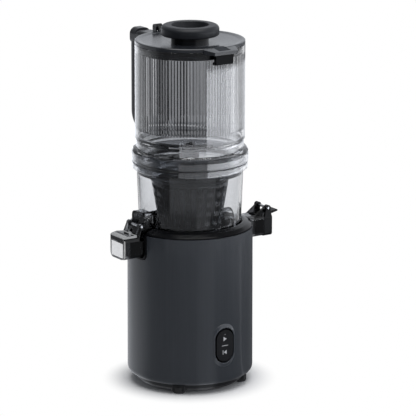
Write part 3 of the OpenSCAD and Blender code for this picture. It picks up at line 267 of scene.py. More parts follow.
class Finish(Nodes):
    """A material and its tree."""

    def __init__(self, name):
        self.material = bpy.data.materials.new(name)
        self.material.use_nodes = True
        super().__init__(self.material.node_tree)
        self.tree.nodes.clear()

    def here(self):
        """Object coordinates."""
        return self.node("ShaderNodeTexCoord", {}, {}, "Object")

    def place(self, scale=(1, 1, 1)):
        """Object coordinates, stretched by a Mapping node."""
        return self.node("ShaderNodeMapping", {}, {"Vector": self.here(), "Scale": scale})

    def noise(self, scale, detail=2.0, roughness=0.5, at=None):
        inputs = {"Vector": at or self.place(), "Scale": scale, "Detail": detail, "Roughness": roughness}
        return self.node("ShaderNodeTexNoise", {}, inputs, "Fac")

    def dot(self, vector, axis):
        settings = {"operation": "DOT_PRODUCT"}
        return self.node("ShaderNodeVectorMath", settings, {0: vector, 1: axis}, "Value")

    def cool(self, level):
        """A slightly cool grey from one value."""
        parts = {0: level * 0.955, 1: level * 0.985, 2: level * 1.045}
        return self.node("ShaderNodeCombineColor", {}, parts)

    def mix(self, factor, first, second):
        """Mixes two colours."""
        return self.node("ShaderNodeMix", {"data_type": "RGBA"}, {0: factor, 6: first, 7: second}, 2)

    def blend(self, factor, first, second):
        """Mixes two shaders."""
        return self.node("ShaderNodeMixShader", {}, {0: factor, 1: first, 2: second})

    def glow(self, colour):
        """Light of its own, at the strength that shows a colour as it is written."""
        return self.node("ShaderNodeEmission", {}, {"Color": colour, "Strength": 1.0})

    def bump(self, height, strength, distance):
        inputs = {"Height": height, "Strength": strength, "Distance": distance}
        return self.node("ShaderNodeBump", {}, inputs, "Normal")

    def shader(self, **inputs):
        """The Principled shader, its sockets named in short."""
        names = {
            "base": "Base Color",
            "metallic": "Metallic",
            "roughness": "Roughness",
            "ior": "IOR",
            "alpha": "Alpha",
            "normal": "Normal",
            "coat": "Coat Weight",
            "coat_roughness": "Coat Roughness",
            "transmission": "Transmission Weight",
            "specular": "Specular IOR Level",
            "emission": "Emission Color",
            "glow": "Emission Strength",
        }
        return self.node("ShaderNodeBsdfPrincipled", {}, {names[k]: v for k, v in inputs.items()})

    def show(self, value):
        """Ends the tree and gives the material."""
        self.end("ShaderNodeOutputMaterial", value)
        return self.material


def moulded(
    name,
    colour,
    roughness,
    grain,
    grain_scale=2600.0,
    coat=0.0,
    shift=0.12,
    specular=0.4,
    bands=(),
):
    """Moulded plastic: cloudy tone, spark texture, slight waves; each band is (low Z, high Z, colour)."""
    f = Finish(name)
    cloud = f.noise(14.0, detail=3.0)
    spark = f.noise(grain_scale, roughness=0.6)
    base = f.mix(cloud.smooth(0.3, 0.7), shade(colour, 1 - shift), shade(colour, 1 + shift))
    height = f.split(f.place())[2]
    for low, high, tone in bands:
        base = f.mix((height > low) * (height < high), base, tone)
    rough = roughness + (spark - 0.5) * 0.12 + (cloud - 0.5) * 0.06
    wave = f.noise(22.0, detail=1.0) * 0.25 + spark
    return f.show(
        f.shader(
            base=base,
            roughness=rough.clamped(),
            normal=f.bump(wave, grain, 0.06 * MM),
            coat=coat,
            coat_roughness=0.12,
            specular=specular,
        )
    )


def drawn(name, colour, roughness=0.42, specular=0.35):
    """Matt paint with fine upright lines under a thin coat; the lines' light and dark streaks in its
    colour are painted reflection.
    """
    f = Finish(name)
    cloud = f.noise(10.0)
    hairlines_and_sheen = f.noise(900.0, roughness=0.7, at=f.place(scale=(1, 1, 0.01)))
    spark = f.noise(3200.0, roughness=0.6)
    # The colour's upright streaks are painted reflection; the cloud adds tone that differs at random
    streak = (hairlines_and_sheen - 0.5) * 1.1 + (cloud - 0.5) * 0.3 + 0.5
    return f.show(
        f.shader(
            base=f.mix(streak, shade(colour, 0.82), shade(colour, 1.18)),
            roughness=(roughness + (spark - 0.5) * 0.1).clamped(),
            normal=f.bump(hairlines_and_sheen * 0.5 + spark * 0.5, 0.16, 0.05 * MM),
            coat=0.28 + (hairlines_and_sheen - 0.5) * 0.08,
            coat_roughness=0.05,
            specular=specular,
        )
    )


def clear(name, colour, roughness=0.03, zones=(), flutes=None, twist=None):
    """Clear plastic with a faint flow and rubbed spots.

    Each zone is (start X, end X, tint), flutes are (count, foot, top) and twist is (starts, pitch).
    """
    f = Finish(name)
    flow = f.noise(9.0)
    rubbed = f.noise(60.0, detail=3.0, roughness=0.6)
    base = f.mix(flow, shade(colour, 0.96), shade(colour, 1.03))
    x, y, z = f.split(f.place())
    for start, end, tint in zones:
        base = f.mix((x > start) * (x < end), base, tint)
    surface = f.bump(flow, 0.02, 1 * MM)
    if twist:
        starts, pitch = twist
        ripple = (y.turn_to(x) * starts + z * (2 * math.pi / pitch) + flow * 5.0).sin() * 0.5
        surface = f.bump(ripple + flow, 1.0, 3 * MM)
    # Painted shade: below the flutes the plastic near the axis and its ledge are tinted darker, and so are
    # the flute grooves
    if flutes:
        count, foot, top = flutes
        shaded_inside = (x * x + y * y < INNER_RADIUS**2) * (z < foot)
        ledge = shaded_inside * (z < foot - LEDGE_TOP) * (z > foot - LEDGE_FOOT)
        shaded_groove = (y.turn_to(x) * count - math.pi / 2).sin().smooth(-0.2, 0.2) * (z > foot) * (z < top)
        base = f.mix(shaded_inside, base, shade(colour, 0.5))
        base = f.mix(ledge, base, shade(colour, 0.2))
        base = f.mix(shaded_groove, base, shade(colour, 0.52))
    return f.show(
        f.shader(
            base=base,
            roughness=(roughness + (rubbed - 0.5) * 0.03).clamped(),
            ior=1.5,
            transmission=1.0,
            normal=surface,
        )
    )


def metal(name, colour, roughness, streak=(1, 1, 60), bump=0.06):
    """Turned or drawn metal with fine tool lines."""
    f = Finish(name)
    lines = f.noise(140.0, at=f.place(scale=streak))
    return f.show(
        f.shader(
            base=f.mix(lines, shade(colour, 0.85), shade(colour, 1.1)),
            metallic=1.0,
            roughness=(roughness + (lines - 0.5) * 0.15).clamped(),
            normal=f.bump(lines, bump, 0.1 * MM),
        )
    )


def rubber(name):
    """Dusty black rubber."""
    colour = (0.02, 0.02, 0.021)
    f = Finish(name)
    dust = f.noise(300.0, detail=3.0)
    return f.show(
        f.shader(
            base=f.mix(dust.smooth(0.45, 0.8), colour, shade(colour, 1.8)),
            roughness=0.72 + (dust - 0.5) * 0.1,
            normal=f.bump(dust, 0.2, 0.1 * MM),
        )
    )


def dress(names, material):
    """Puts one material into every slot of these CAD nodes."""
    for name in names.split():
        for slot in NODES[name].material_slots:
            slot.material = material


# ---------------------------------------------------------------- pieces


def new_piece(name, mesh_or_bm, material, body, smooth=True):
    """Makes the object, gives it its material and puts it on its body."""
    if isinstance(mesh_or_bm, bmesh.types.BMesh):
        mesh = bpy.data.meshes.new(name)
        mesh_or_bm.to_mesh(mesh)
        mesh_or_bm.free()
    else:
        mesh = mesh_or_bm
        mesh.name = name
    mesh.materials.clear()
    mesh.materials.append(material)
    for face in mesh.polygons:
        face.use_smooth = smooth
        face.material_index = 0
    piece = bpy.data.objects.new(name, mesh)
    bpy.context.scene.collection.objects.link(piece)
    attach(piece, body)
    return piece


class Repeat(Nodes):
    """A Geometry Nodes tree with named sizes, for parts that repeat."""

    def __init__(self, name):
        super().__init__(bpy.data.node_groups.new(name, "GeometryNodeTree"))
        self.tree.interface.new_socket("Geometry", in_out="OUTPUT", socket_type="NodeSocketGeometry")
        self.given = self.tree.nodes.new("NodeGroupInput")
        self.sizes = {}

    def size(self, name, value):
        """A named input of the tree."""
        kind = "NodeSocketInt" if isinstance(value, int) else "NodeSocketFloat"
        made = self.tree.interface.new_socket(name, in_out="INPUT", socket_type=kind)
        self.sizes[made.identifier] = value
        return Value(self, self.given.outputs[name])

    def point(self, x, y, z):
        return self.node("ShaderNodeCombineXYZ", {}, {0: x, 1: y, 2: z})

    def index(self):
        return self.node("GeometryNodeInputIndex", {}, {})

    def line(self, start, end):
        return self.node("GeometryNodeCurvePrimitiveLine", {}, {"Start": start, "End": end})

    def circle(self, radius, corners):
        return self.node("GeometryNodeCurvePrimitiveCircle", {}, {"Resolution": corners, "Radius": radius})

    def tube(self, path, radius):
        """A square wire along a path."""
        outline = self.circle(radius, 4)
        return self.node("GeometryNodeCurveToMesh", {}, {"Curve": path, "Profile Curve": outline})

    def spread(self, shape, count, position=(0, 0, 0), rotation=(0, 0, 0), scale=(1, 1, 1)):
        """Copies of a shape on count points."""
        points = self.node("GeometryNodePoints", {}, {"Count": count, "Position": position})
        settings = {"Points": points, "Instance": shape, "Rotation": rotation, "Scale": scale}
        return self.node("GeometryNodeInstanceOnPoints", {}, settings)

    def join(self, *parts):
        made = self.tree.nodes.new("GeometryNodeJoinGeometry")
        for part in parts:
            self.feed(made.inputs[0], part)
        return Value(self, made.outputs[0])

    def build(self, name, geometry, material, body, slot):
        """Ends the tree, evaluates it and keeps the result as a plain piece."""
        whole = self.node("GeometryNodeRealizeInstances", {}, {"Geometry": geometry})
        whole = self.node("GeometryNodeSetMaterial", {}, {"Geometry": whole, "Material": material})
        self.end("NodeGroupOutput", whole)
        holder = bpy.data.objects.new(name + "_holder", bpy.data.meshes.new(name + "_holder"))
        bpy.context.scene.collection.objects.link(holder)
        modifier = holder.modifiers.new("repeat", "NODES")
        modifier.node_group = self.tree
        for identifier, value in self.sizes.items():
            modifier[identifier] = value
        graph = bpy.context.evaluated_depsgraph_get()
        mesh = bpy.data.meshes.new_from_object(holder.evaluated_get(graph), depsgraph=graph)
        bpy.data.objects.remove(holder)
        if not mesh.polygons:
            raise RuntimeError(name + " came out empty")
        return new_piece(name, mesh, material, body)


def lathe(profile, steps):
    """An open surface turned about Z from (radius, height) points, facing up or towards the axis."""
    bm = bmesh.new()
    rows = []
    for step in range(steps):
        a = 2 * math.pi * step / steps
        rows.append([bm.verts.new((r * math.cos(a), r * math.sin(a), z)) for r, z in profile])
    for here, after in zip(rows, rows[1:] + rows[:1]):
        for i in range(len(profile) - 1):
            bm.faces.new((here[i], after[i], after[i + 1], here[i + 1]))
    bmesh.ops.reverse_faces(bm, faces=bm.faces)
    return bm


def capsule_ring(profile, wall_r, middle, steps=24):
    """A closed ring round a capsule on the housing.

    Its outline's points are (half width, half height, height off the wall).
    """
    bm = bmesh.new()
    rows = []
    for half_w, half_h, proud in profile:
        row = []
        for k in range(2 * steps):
            a = math.pi * k / steps
            x = half_w * math.cos(a)
            z = half_w * math.sin(a) + math.copysign(half_h - half_w, math.sin(a))
            row.append(bm.verts.new((x, -math.sqrt(wall_r**2 - x**2) - proud, middle + z)))
        rows.append(row)
    for here, after in zip(rows, rows[1:] + rows[:1]):
        for k in range(2 * steps):
            m = (k + 1) % (2 * steps)
            bm.faces.new((here[k], here[m], after[m], after[k]))
    bmesh.ops.recalc_face_normals(bm, faces=bm.faces)
    return bm


# ---------------------------------------------------------------- operators


class JUICER_OT_stage(bpy.types.Operator):
    """Makes the camera, the floor, the backdrop and the lights"""

    bl_idname = "juicer.stage"
    bl_label = "Stage"

    # The camera's turn about the object and its height, and on the floor the ways to it and to its right
    turn = math.radians(-33)
    camera_height = 1.04
    front = (math.sin(turn), -math.cos(turn), 0)
    right = (math.cos(turn), math.sin(turn), 0)

    wall_r = 7.0
    aim = Vector((0, 0, 0.2))
    # Degrees by which the base's radius turns a mirrored way, for a landing point one metre away
    wall_swing = math.degrees(0.075)

    def execute(self, context):
        scene = context.scene
        scene.view_settings.view_transform = "Standard"
        self.camera(scene)
        self.floor(scene)
        self.room(scene)
        self.air(scene)
        self.panel("side_light", azimuth=84, distance=1.3, height=0.72, size=(2.7, 1.35), power=2.5)
        self.panel("top_light", azimuth=20, distance=0.35, height=1.75, size=(1.5, 1.5), power=22.0)
        return {"FINISHED"}

    def beside(self, angle, distance, height):
        """A point at an angle to the right of the object's front."""
        return (distance * math.sin(angle), -distance * math.cos(angle), height)

    def camera(self, scene):
        """A long lens that looks 14 degrees down."""
        data = bpy.data.cameras.new("camera")
        data.lens = 247.36
        data.sensor_width = 36
        data.shift_x = 0.0433
        data.shift_y = -0.0131
        data.clip_start = 0.1
        data.clip_end = 50
        camera = bpy.data.objects.new("camera", data)
        camera.location = self.beside(self.turn, sizes().camera_distance, self.camera_height)
        camera.rotation_euler = (math.radians(76), 0, self.turn)
        scene.collection.objects.link(camera)
        scene.camera = camera

    def floor(self, scene):
        """A pale floor, in whose place gloss and clear plastic find soft cards and dark screens."""
        bm = lathe([(0.0001, 0), (0.3, 0), (1.2, 0), (9.0, 0)], 64)
        bmesh.ops.recalc_face_normals(bm, faces=bm.faces)
        mesh = bpy.data.meshes.new("floor")
        bm.to_mesh(mesh)
        bm.free()
        floor = bpy.data.objects.new("floor", mesh)
        scene.collection.objects.link(floor)

        f = Finish("floor_paper")
        here = f.here()
        away = f.node("ShaderNodeVectorMath", {"operation": "LENGTH"}, {0: here}, "Value")
        across = f.dot(here, self.right)
        toward = f.dot(here, self.front)
        seen, through, glossy = f.rays()
        mirrored = f.mix(glossy, (1, 1, 1), self.mirrored(f, away, across, toward))
        glow = f.glow(f.mix(through, mirrored, self.let_through(f, away, across, toward)))
        paper = f.shader(base=(0.86, 0.865, 0.875), roughness=0.6, specular=0.2)
        shown = (away.smooth(0.068, 0.108) * seen + glossy + through).clamped()
        mesh.materials.append(f.show(f.blend(shown, paper, glow)))

    def let_through(self, f, away, across, toward):
        """What clear plastic lets through: bright behind the bowl, dark behind the hopper."""
        behind_bowl = across.smooth(-0.6, -0.3)
        behind_hopper = 0.3 + across.smooth(0.25, 0.8) * 0.76 + (1 - across.smooth(-0.7, -0.25)) * 0.2
        hopper_part = away.smooth(1.26, 1.33)
        behind = behind_bowl * (1 - hopper_part) + behind_hopper * hopper_part
        near = 0.12 + away.smooth(0.7, 0.78) * 0.88
        camera_side = 1 - toward.smooth(-0.1, 0.1) * 0.85
        return f.mix(behind * near * camera_side, (0.1, 0.105, 0.115), (1, 1, 1))

    def mirrored(self, f, away, across, toward):
        """What gloss mirrors: soft cards by azimuth in degrees, one zone for each height of the object.

        An upright wall mirrors the floor at the distance height * 3.3 / (1.04 - height).
        """
        azimuth = across.turn_to(toward) * (180 / math.pi)
        bowl_zone = away.smooth(0.7, 0.75)
        hopper_zone = away.smooth(1.02, 1.12)
        rim_zone = away.smooth(1.22, 1.28)
        over_rim = away.smooth(1.36, 1.4)
        at_lid = away.smooth(1.97, 2.03)
        # Hopper, with brighter cards in front of its foot and its rim
        right_card = azimuth.smooth(33, 36) * (1 - azimuth.smooth(95, 130) * 0.85) * (1 - at_lid) * 6.4
        left_edge = (1 - azimuth.smooth(-140, -125)) * 0.9
        left_wash = (1 - azimuth.smooth(-85, -60)) * 0.6
        front_card = azimuth.between((-24, -20), (33, 36)) * (1 - over_rim) * (1.4 + rim_zone * 3.0)
        hopper = 0.1 + azimuth.smooth(-44, -42) * 0.06 + right_card + left_edge + left_wash + front_card
        bowl = 0.2 + azimuth.between((-45, -43), (55, 57)) * 0.5
        # The base is wide for its distance, so its cards go by the way in which a ray leaves its wall
        way = azimuth + (azimuth * (math.pi / 360)).sin() * self.wall_swing / away
        left = (1 - way.smooth(-100, -70)) * 0.6
        front = way.between((13, 16), (38, 52)) * 0.3
        right_line = way.between((103.6, 104.6), (107.6, 108.6)) * 0.9
        base = 0.4 + left + front + right_line - way.smooth(38, 52) * 0.22
        lower = base * (1 - bowl_zone) + bowl * bowl_zone
        return f.cool(lower * (1 - hopper_zone) + hopper * hopper_zone)

    def room(self, scene):
        """A wide round wall, which gloss sees as a dim front, a bright right side and a pale back."""
        mesh = bpy.data.meshes.new("room")
        bm = lathe([(self.wall_r, 0), (self.wall_r, 4.5)], 96)
        bm.to_mesh(mesh)
        bm.free()
        room = bpy.data.objects.new("room", mesh)
        scene.collection.objects.link(room)

        f = Finish("room_wall")
        here = f.here()
        toward = f.dot(here, self.front) / self.wall_r
        side = f.dot(here, self.right) / self.wall_r
        right_side = side.smooth(0.54, 0.58)
        front = (toward > 0.0) * side.between((-0.71, -0.66), (0.54, 0.58))
        back = (toward < -0.35) * (0.25 + side.smooth(-0.75, 0.2) * 0.5)
        light = 0.05 + front * 0.12 + back + right_side * (toward > -0.35) * 0.8
        seen, through, _ = f.rays()
        light = light * (1 - through * (1 - side.smooth(0.05, 0.3)) * 0.8)
        mesh.materials.append(f.show(f.glow(f.mix(seen, f.cool(light), (1, 1, 1)))))

    def air(self, scene):
        """A white world for the camera and a dim one for the light."""
        world = bpy.data.worlds.new("studio")
        scene.world = world
        world.use_nodes = True
        world.node_tree.nodes.clear()
        n = Nodes(world.node_tree)
        seen = n.rays()[0]
        air = n.node("ShaderNodeBackground", {}, {"Color": (0.95, 0.97, 1), "Strength": 0.3})
        white = n.node("ShaderNodeBackground", {}, {"Color": (1, 1, 1), "Strength": 1.0})
        n.end("ShaderNodeOutputWorld", n.node("ShaderNodeMixShader", {}, {0: seen, 1: air, 2: white}))

    def panel(self, name, azimuth, distance, height, size, power):
        """A lamp panel; its azimuth is counted to the right from the camera's side of the object."""
        data = bpy.data.lights.new(name, "AREA")
        data.shape = "RECTANGLE"
        data.size, data.size_y = size
        data.energy = power
        lamp = bpy.data.objects.new(name, data)
        lamp.location = self.beside(self.turn + math.radians(azimuth), distance, height)
        lamp.rotation_euler = (self.aim - lamp.location).to_track_quat("-Z", "Y").to_euler()
        bpy.context.scene.collection.objects.link(lamp)


class JUICER_OT_housing(bpy.types.Operator):
    """Finishes the base shell, the base plate, the feet and the gland"""

    bl_idname = "juicer.housing"
    bl_label = "Housing"

    def execute(self, context):
        slate = colours().slate
        black = colours().black
        dress("base_shell switch_bezel", drawn("housing_slate", slate))
        plate = moulded("plate_black", black, roughness=0.5, grain=0.3)
        dress("base_plate cord_gland safety_switch", plate)
        dress("rubber_feet motor_mounts shaft_seal", rubber("rubber_soft"))
        seat = moulded(
            "seat_gloss",
            shade(black, 0.7),
            roughness=0.16,
            grain=0.03,
            grain_scale=900.0,
            shift=0.05,
            specular=0.13,
        )
        dress("bowl_seat", seat)
        dress("base_screws gearbox_screws", metal("screw_steel", (0.55, 0.56, 0.58), roughness=0.35))
        return {"FINISHED"}


class JUICER_OT_switch(bpy.types.Operator):
    """Makes the sloping bezel, finishes the rocker and prints its start and reverse icons"""

    bl_idname = "juicer.switch"
    bl_label = "Rocker switch"

    # Radius of the housing's wall at the switch
    wall_r = 0.07505

    def execute(self, context):
        rocker = shade(colours().black, 1.25)
        dress("switch_rocker", moulded("rocker_satin", rocker, roughness=0.34, grain=0.1))
        dress("rocker_pin", metal("pin_dark", (0.012, 0.012, 0.013), roughness=0.5))
        self.bezel()
        self.icons()
        return {"FINISHED"}

    def bezel(self):
        """A ring that slopes from the rocker's opening down to the housing."""
        low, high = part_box("switch_bezel")
        half_w, half_h = high.x, (high.z - low.z) / 2
        inner_w, inner_h = half_w - 1.8 * MM, half_h - 5.2 * MM
        slope_w, slope_h = inner_w + 0.1 * MM, inner_h + 0.1 * MM
        back_w, back_h = inner_w + 0.8 * MM, inner_h + 0.8 * MM
        crest = 1.5 * MM
        depth = 8.5 * MM
        seat = -0.4 * MM
        parts = 8
        profile = [
            (inner_w, inner_h, -depth),
            (inner_w, inner_h, crest * 0.6),
            (slope_w, slope_h, crest * 0.9),
        ]
        for step in range(1, parts + 1):
            t = step / parts
            rise = crest * (1 - t**1.6)
            profile.append((slope_w + (half_w - slope_w) * t, slope_h + (half_h - slope_h) * t, rise))
        profile += [(half_w, half_h, seat), (back_w, back_h, seat), (back_w, back_h, -depth)]
        bm = capsule_ring(profile, self.wall_r, (low.z + high.z) / 2)
        # The ring's slate is painted 1.25 times lighter than the housing's, a painted highlight on the
        # raised ring
        finish = drawn("bezel_slate", shade(colours().slate, 1.25), roughness=0.3, specular=0.6)
        ring = new_piece("bezel_ring", bm, finish, "housing")
        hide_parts("switch_bezel")

    def icons(self):
        """Start and reverse triangles, a dash, a bar and a dot, in millimetres from the middle."""
        dot_r, dot_z, dot_sides = 0.45, 13.6, 12
        corners = [2 * math.pi * k / dot_sides for k in range(dot_sides)]
        outlines = (
            [(-2.1, 5.6), (2.3, 8.2), (-2.1, 10.8)],
            [(-4.4, -0.35), (4.4, -0.35), (4.4, 0.35), (-4.4, 0.35)],
            [(2.3, -5.6), (-1.5, -8.2), (2.3, -10.8)],
            [(-3.1, -10.8), (-2.3, -10.8), (-2.3, -5.6), (-3.1, -5.6)],
            [(dot_r * math.cos(a), dot_z + dot_r * math.sin(a)) for a in corners],
        )
        low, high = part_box("switch_rocker")
        middle = (low.z + high.z) / 2
        front_y = low.y - sizes().icon_proud
        back_y = low.y + 0.1 * MM
        bm = bmesh.new()
        for outline in outlines:
            front = [bm.verts.new((x * MM, front_y, middle + z * MM)) for x, z in outline]
            back = [bm.verts.new((x * MM, back_y, middle + z * MM)) for x, z in outline]
            bm.faces.new(front)
            bm.faces.new(back[::-1])
            for i in range(len(outline)):
                bm.faces.new((front[i - 1], back[i - 1], back[i], front[i]))
        bmesh.ops.recalc_face_normals(bm, faces=bm.faces)
        f = Finish("icon_print")
        ink = f.mix(f.noise(500.0), (0.5, 0.51, 0.53), (0.6, 0.61, 0.63))
        paint = f.show(f.shader(base=ink, roughness=0.55))
        new_piece("switch_icons", bm, paint, "rocker", smooth=False)


class JUICER_OT_bowl(bpy.types.Operator):
    """Finishes the clear bowl, its seals, caps and pins"""

    bl_idname = "juicer.bowl"
    bl_label = "Bowl and spouts"

    light = (0.95, 0.955, 0.96)
    near_black_tint = (0.06, 0.062, 0.068)

    def execute(self, context):
        black = colours().black
        # The juice channel's outer end is tinted paler than the bowl; its root is tinted near black as a
        # painted dark reflection, and the pulp outlet's root is tinted near black too
        zones = ((-0.11, -0.0925, self.light), (-0.0925, -0.0705, self.near_black_tint), (0.086, 0.11, self.near_black_tint))
        cap = moulded("cap_black", shade(black, 0.6), roughness=0.4, grain=0.12, specular=0.2)
        dress("juice_bowl", clear("bowl_clear", colours().clear, zones=zones))
        dress("juice_cap", self.cap_finish())
        dress("bowl_seal juice_cap_seal pulp_cap_seal hopper_gasket lid_gasket", rubber("seal_rubber"))
        dress("pulp_cap", cap)
        dress("juice_cap_pin pulp_cap_pin", metal("hinge_steel", (0.6, 0.61, 0.63), roughness=0.25))
        dress("lid_hinge_pin latch_pin", metal("pin_blackened", (0.03, 0.03, 0.033), roughness=0.4))
        return {"FINISHED"}

    def cap_finish(self):
        """Clear cap with a grey arm; its end plate and the roof over its seal glow, painted light: white
        on the end plate for the backdrop seen through it, grey on the roof for a painted sheen.
        """
        rim = 2.5 * MM
        low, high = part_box("juice_cap")
        seal_low, seal_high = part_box("juice_cap_seal")
        f = Finish("cap_clear")
        x, y, z = f.split(f.place())
        flow = f.noise(30.0)
        beside = (y > low.y + rim) * (y < high.y - rim)
        upright = (z > low.z + rim) * (z < seal_low.z - 1 * MM)
        plate = x < low.x + 2.2 * MM
        roof = (z > seal_high.z + 1.2 * MM) * (z < seal_high.z + 4 * MM) * (x < -0.084)
        glow_zone = (beside * upright * plate + roof).clamped()
        glow_white = f.mix(flow, (0.88, 0.885, 0.89), (0.95, 0.95, 0.955))
        pale = f.mix(roof, glow_white, (0.3, 0.305, 0.31))
        tint = f.mix(x > -0.09, self.light, (0.4, 0.41, 0.43))
        glass = f.shader(base=tint, roughness=(0.03 + flow * 0.02).clamped(), ior=1.5, transmission=1.0)
        # Painted light: the end plate and the roof glow, a painted view of the white backdrop and a
        # painted sheen
        glowing_matt = f.shader(base=pale, roughness=0.4, emission=pale, glow=0.25)
        return f.show(f.blend(glow_zone, glass, glowing_matt))


class JUICER_OT_strainer(bpy.types.Operator):
    """Finishes the strainer basket and its screen"""

    bl_idname = "juicer.strainer"
    bl_label = "Strainer"

    def execute(self, context):
        basket = clear("strainer_smoke", colours().strainer, roughness=0.05, twist=(2, 12 * MM))
        dress("strainer_basket", basket)
        f = Finish("screen_mesh")
        x, y, z = f.split(f.place())
        hole = ((y.turn_to(x) * 46.0).sin() * (z * 2800.0).sin()).smooth(0.35, 0.55)
        wire = f.noise(400.0)
        screen = f.shader(
            base=f.mix(wire, (0.1, 0.105, 0.115), (0.2, 0.205, 0.22)),
            metallic=1.0,
            roughness=0.3 + wire * 0.1,
            alpha=1 - hole * 0.8,
        )
        dress("filter_screen", f.show(screen))
        self.wires()
        return {"FINISHED"}

    def wires(self):
        """Upright wires and hoops that stand out of the screen."""
        low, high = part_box("filter_screen")
        tree = Repeat("screen_wires")
        count = tree.size("Upright wires", sizes().upright_wires)
        hoops = tree.size("Hoops", sizes().hoops)
        wire_r = tree.size("Wire radius", 0.28 * MM)
        foot_r = tree.size("Foot radius", 0.0347)
        top_r = tree.size("Top radius", high.x - 0.1 * MM)
        foot_z = tree.size("Foot height", low.z + 0.4 * MM)
        top_z = tree.size("Top height", high.z - 0.4 * MM)
        line = tree.line(tree.point(foot_r, 0.0, foot_z), tree.point(top_r, 0.0, top_z))
        turn = tree.index() / count * (2 * math.pi)
        uprights = tree.spread(tree.tube(line, wire_r), count, rotation=tree.point(0.0, 0.0, turn))
        up = tree.index() / (hoops - 1)
        hoop_r = foot_r + (top_r - foot_r) * up
        ring = tree.tube(tree.circle(1.0, 72), wire_r / top_r)
        place = tree.point(0.0, 0.0, foot_z + (top_z - foot_z) * up)
        rings = tree.spread(ring, hoops, position=place, scale=tree.point(hoop_r, hoop_r, hoop_r))
        steel = metal("wire_steel", (0.13, 0.135, 0.145), roughness=0.35)
        tree.build("screen_wires", tree.join(uprights, rings), steel, "bowl", "steel_part")


class JUICER_OT_auger(bpy.types.Operator):
    """Finishes the auger, its wing and its drive socket"""

    bl_idname = "juicer.auger"
    bl_label = "Auger"

    def execute(self, context):
        black = shade(colours().black, 4)
        gloss = moulded("auger_gloss", black, roughness=0.14, grain=0.05, grain_scale=900.0, coat=0.6)
        dress("auger_core auger_flights cutting_wing", gloss)
        dress("auger_socket", metal("socket_steel", (0.62, 0.63, 0.65), roughness=0.28))
        return {"FINISHED"}


class JUICER_OT_hopper(bpy.types.Operator):
    """Finishes the hopper and its handle"""

    bl_idname = "juicer.hopper"
    bl_label = "Hopper"

    def execute(self, context):
        flutes = (sizes().flute_count, sizes().flute_foot, sizes().flute_top)
        dress("hopper", clear("hopper_clear", shade(colours().clear, 0.97), flutes=flutes))
        satin = moulded("handle_satin", shade(colours().black, 2.5), roughness=0.32, grain=0.12, coat=0.2)
        dress("handle", satin)
        return {"FINISHED"}


class JUICER_OT_lid(bpy.types.Operator):
    """Finishes the lid, the feed collar and the latch"""

    bl_idname = "juicer.lid"
    bl_label = "Lid"

    # Height of the feed collar's foot over the lid's top face
    collar_lift = 5.3 * MM

    def execute(self, context):
        c = colours().lid
        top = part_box("feed_collar")[0].z - self.collar_lift
        # Painted light and shade: the top face is painted 1.5 times the lid colour over a skirt at 1.3
        # times, a lit top above a painted-shade skirt; the neck under the feed collar is painted near
        # black as painted shade. The latch is the lid colour darkened to a quarter, its top 4 mm painted
        # in the lit top's tone
        face = (top - 0.6 * MM, top + 0.2 * MM, shade(c, 1.5))
        shaded_neck = (top + 0.2 * MM, top + 20 * MM, shade(c, 0.12))
        lit_pad = (top - 4 * MM, top + 1 * MM, shade(c, 1.5))
        lid = moulded(
            "lid_satin",
            shade(c, 1.3),
            roughness=0.22,
            grain=0.06,
            grain_scale=1800.0,
            coat=0.35,
            bands=(face, shaded_neck),
        )
        latch = moulded(
            "latch_satin", shade(c, 0.25), roughness=0.45, grain=0.1, specular=0.08, bands=(lit_pad,)
        )
        collar = moulded("collar_satin", shade(c, 1.15), roughness=0.42, grain=0.12, specular=0.3)
        dress("lid", lid)
        dress("lid_latch", latch)
        dress("feed_collar", collar)
        return {"FINISHED"}


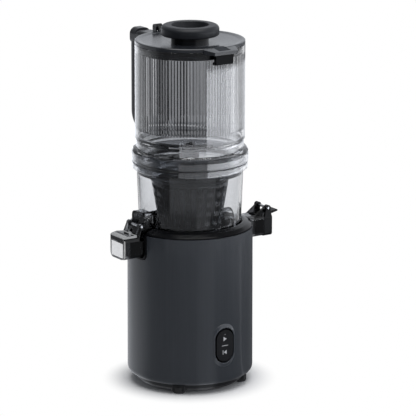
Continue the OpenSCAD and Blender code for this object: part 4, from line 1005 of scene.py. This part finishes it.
class JUICER_OT_inside(bpy.types.Operator):
    """Finishes the motor, the gearbox and the boards"""

    bl_idname = "juicer.inside"
    bl_label = "Motor and gearbox"

    def execute(self, context):
        can = metal("can_steel", (0.5, 0.51, 0.53), roughness=0.38)
        shaft = metal("shaft_steel", (0.6, 0.61, 0.63), roughness=0.2)
        bearing = metal("bearing_steel", (0.66, 0.67, 0.69), roughness=0.16)
        laminated = metal(
            "laminated_steel", (0.32, 0.32, 0.34), roughness=0.45, streak=(1, 1, 400), bump=0.3
        )
        winding = metal(
            "winding_copper", (0.72, 0.34, 0.16), roughness=0.3, streak=(260, 260, 1), bump=0.5
        )
        dress("motor_can lower_bracket upper_bracket", can)
        dress("motor_shaft motor_pinion drive_shaft idler_pin", shaft)
        dress("motor_bearings output_bearings", bearing)
        dress("armature_core", laminated)
        dress("armature_windings", winding)
        dress("commutator", metal("commutator_copper", (0.76, 0.4, 0.22), roughness=0.22))
        dress("field_magnets", moulded("magnet_grey", (0.06, 0.06, 0.065), roughness=0.6, grain=0.4))
        dress("carbon_brushes", moulded("brush_carbon", (0.03, 0.03, 0.032), roughness=0.55, grain=0.4))
        nylon = moulded("gear_nylon", (0.62, 0.61, 0.56), roughness=0.4, grain=0.15)
        dress("cooling_fan idler_gear output_gear", nylon)
        case = moulded("case_grey", (0.05, 0.053, 0.058), roughness=0.5, grain=0.3)
        dress("gearbox_case gearbox_cover", case)
        dress("control_board", self.board_finish())
        dress("switch_board", moulded("board_black", (0.008, 0.008, 0.009), roughness=0.6, grain=0.3))
        return {"FINISHED"}

    def board_finish(self):
        """Green lacquer over square-cornered traces."""
        f = Finish("board_green")
        inputs = {"Vector": f.place(), "Scale": 160.0}
        patch = f.node("ShaderNodeTexVoronoi", {"distance": "MANHATTAN"}, inputs, "Distance")
        trace = patch.smooth(0.35, 0.45)
        lacquer = f.mix(trace, (0.012, 0.09, 0.04), (0.03, 0.17, 0.07))
        return f.show(f.shader(base=lacquer, roughness=0.4 - trace * 0.1))


STEPS = (
    JUICER_OT_stage,
    JUICER_OT_housing,
    JUICER_OT_switch,
    JUICER_OT_bowl,
    JUICER_OT_strainer,
    JUICER_OT_auger,
    JUICER_OT_hopper,
    JUICER_OT_lid,
    JUICER_OT_inside,
)


class JUICER_PT_panel(bpy.types.Panel):
    """Lists the building steps and the main settings"""

    bl_idname = "JUICER_PT_panel"
    bl_label = "Juicer"
    bl_space_type = "VIEW_3D"
    bl_region_type = "UI"
    bl_category = "Juicer"

    def draw(self, context):
        layout = self.layout
        for group in (context.scene.juicer_sizes, context.scene.juicer_colours):
            for name in group.__annotations__:
                layout.prop(group, name)
        for step in STEPS:
            layout.operator(step.bl_idname)


CLASSES = (JuicerSizes, JuicerColours, *STEPS, JUICER_PT_panel)


def register():
    for item in CLASSES:
        bpy.utils.register_class(item)
    bpy.types.Scene.juicer_sizes = PointerProperty(type=JuicerSizes)
    bpy.types.Scene.juicer_colours = PointerProperty(type=JuicerColours)


def unregister():
    del bpy.types.Scene.juicer_sizes
    del bpy.types.Scene.juicer_colours
    for item in reversed(CLASSES):
        bpy.utils.unregister_class(item)


def main():
    register()
    for step in STEPS:
        group, name = step.bl_idname.split(".")
        getattr(getattr(bpy.ops, group), name)()


if __name__ == "__main__":
    main()
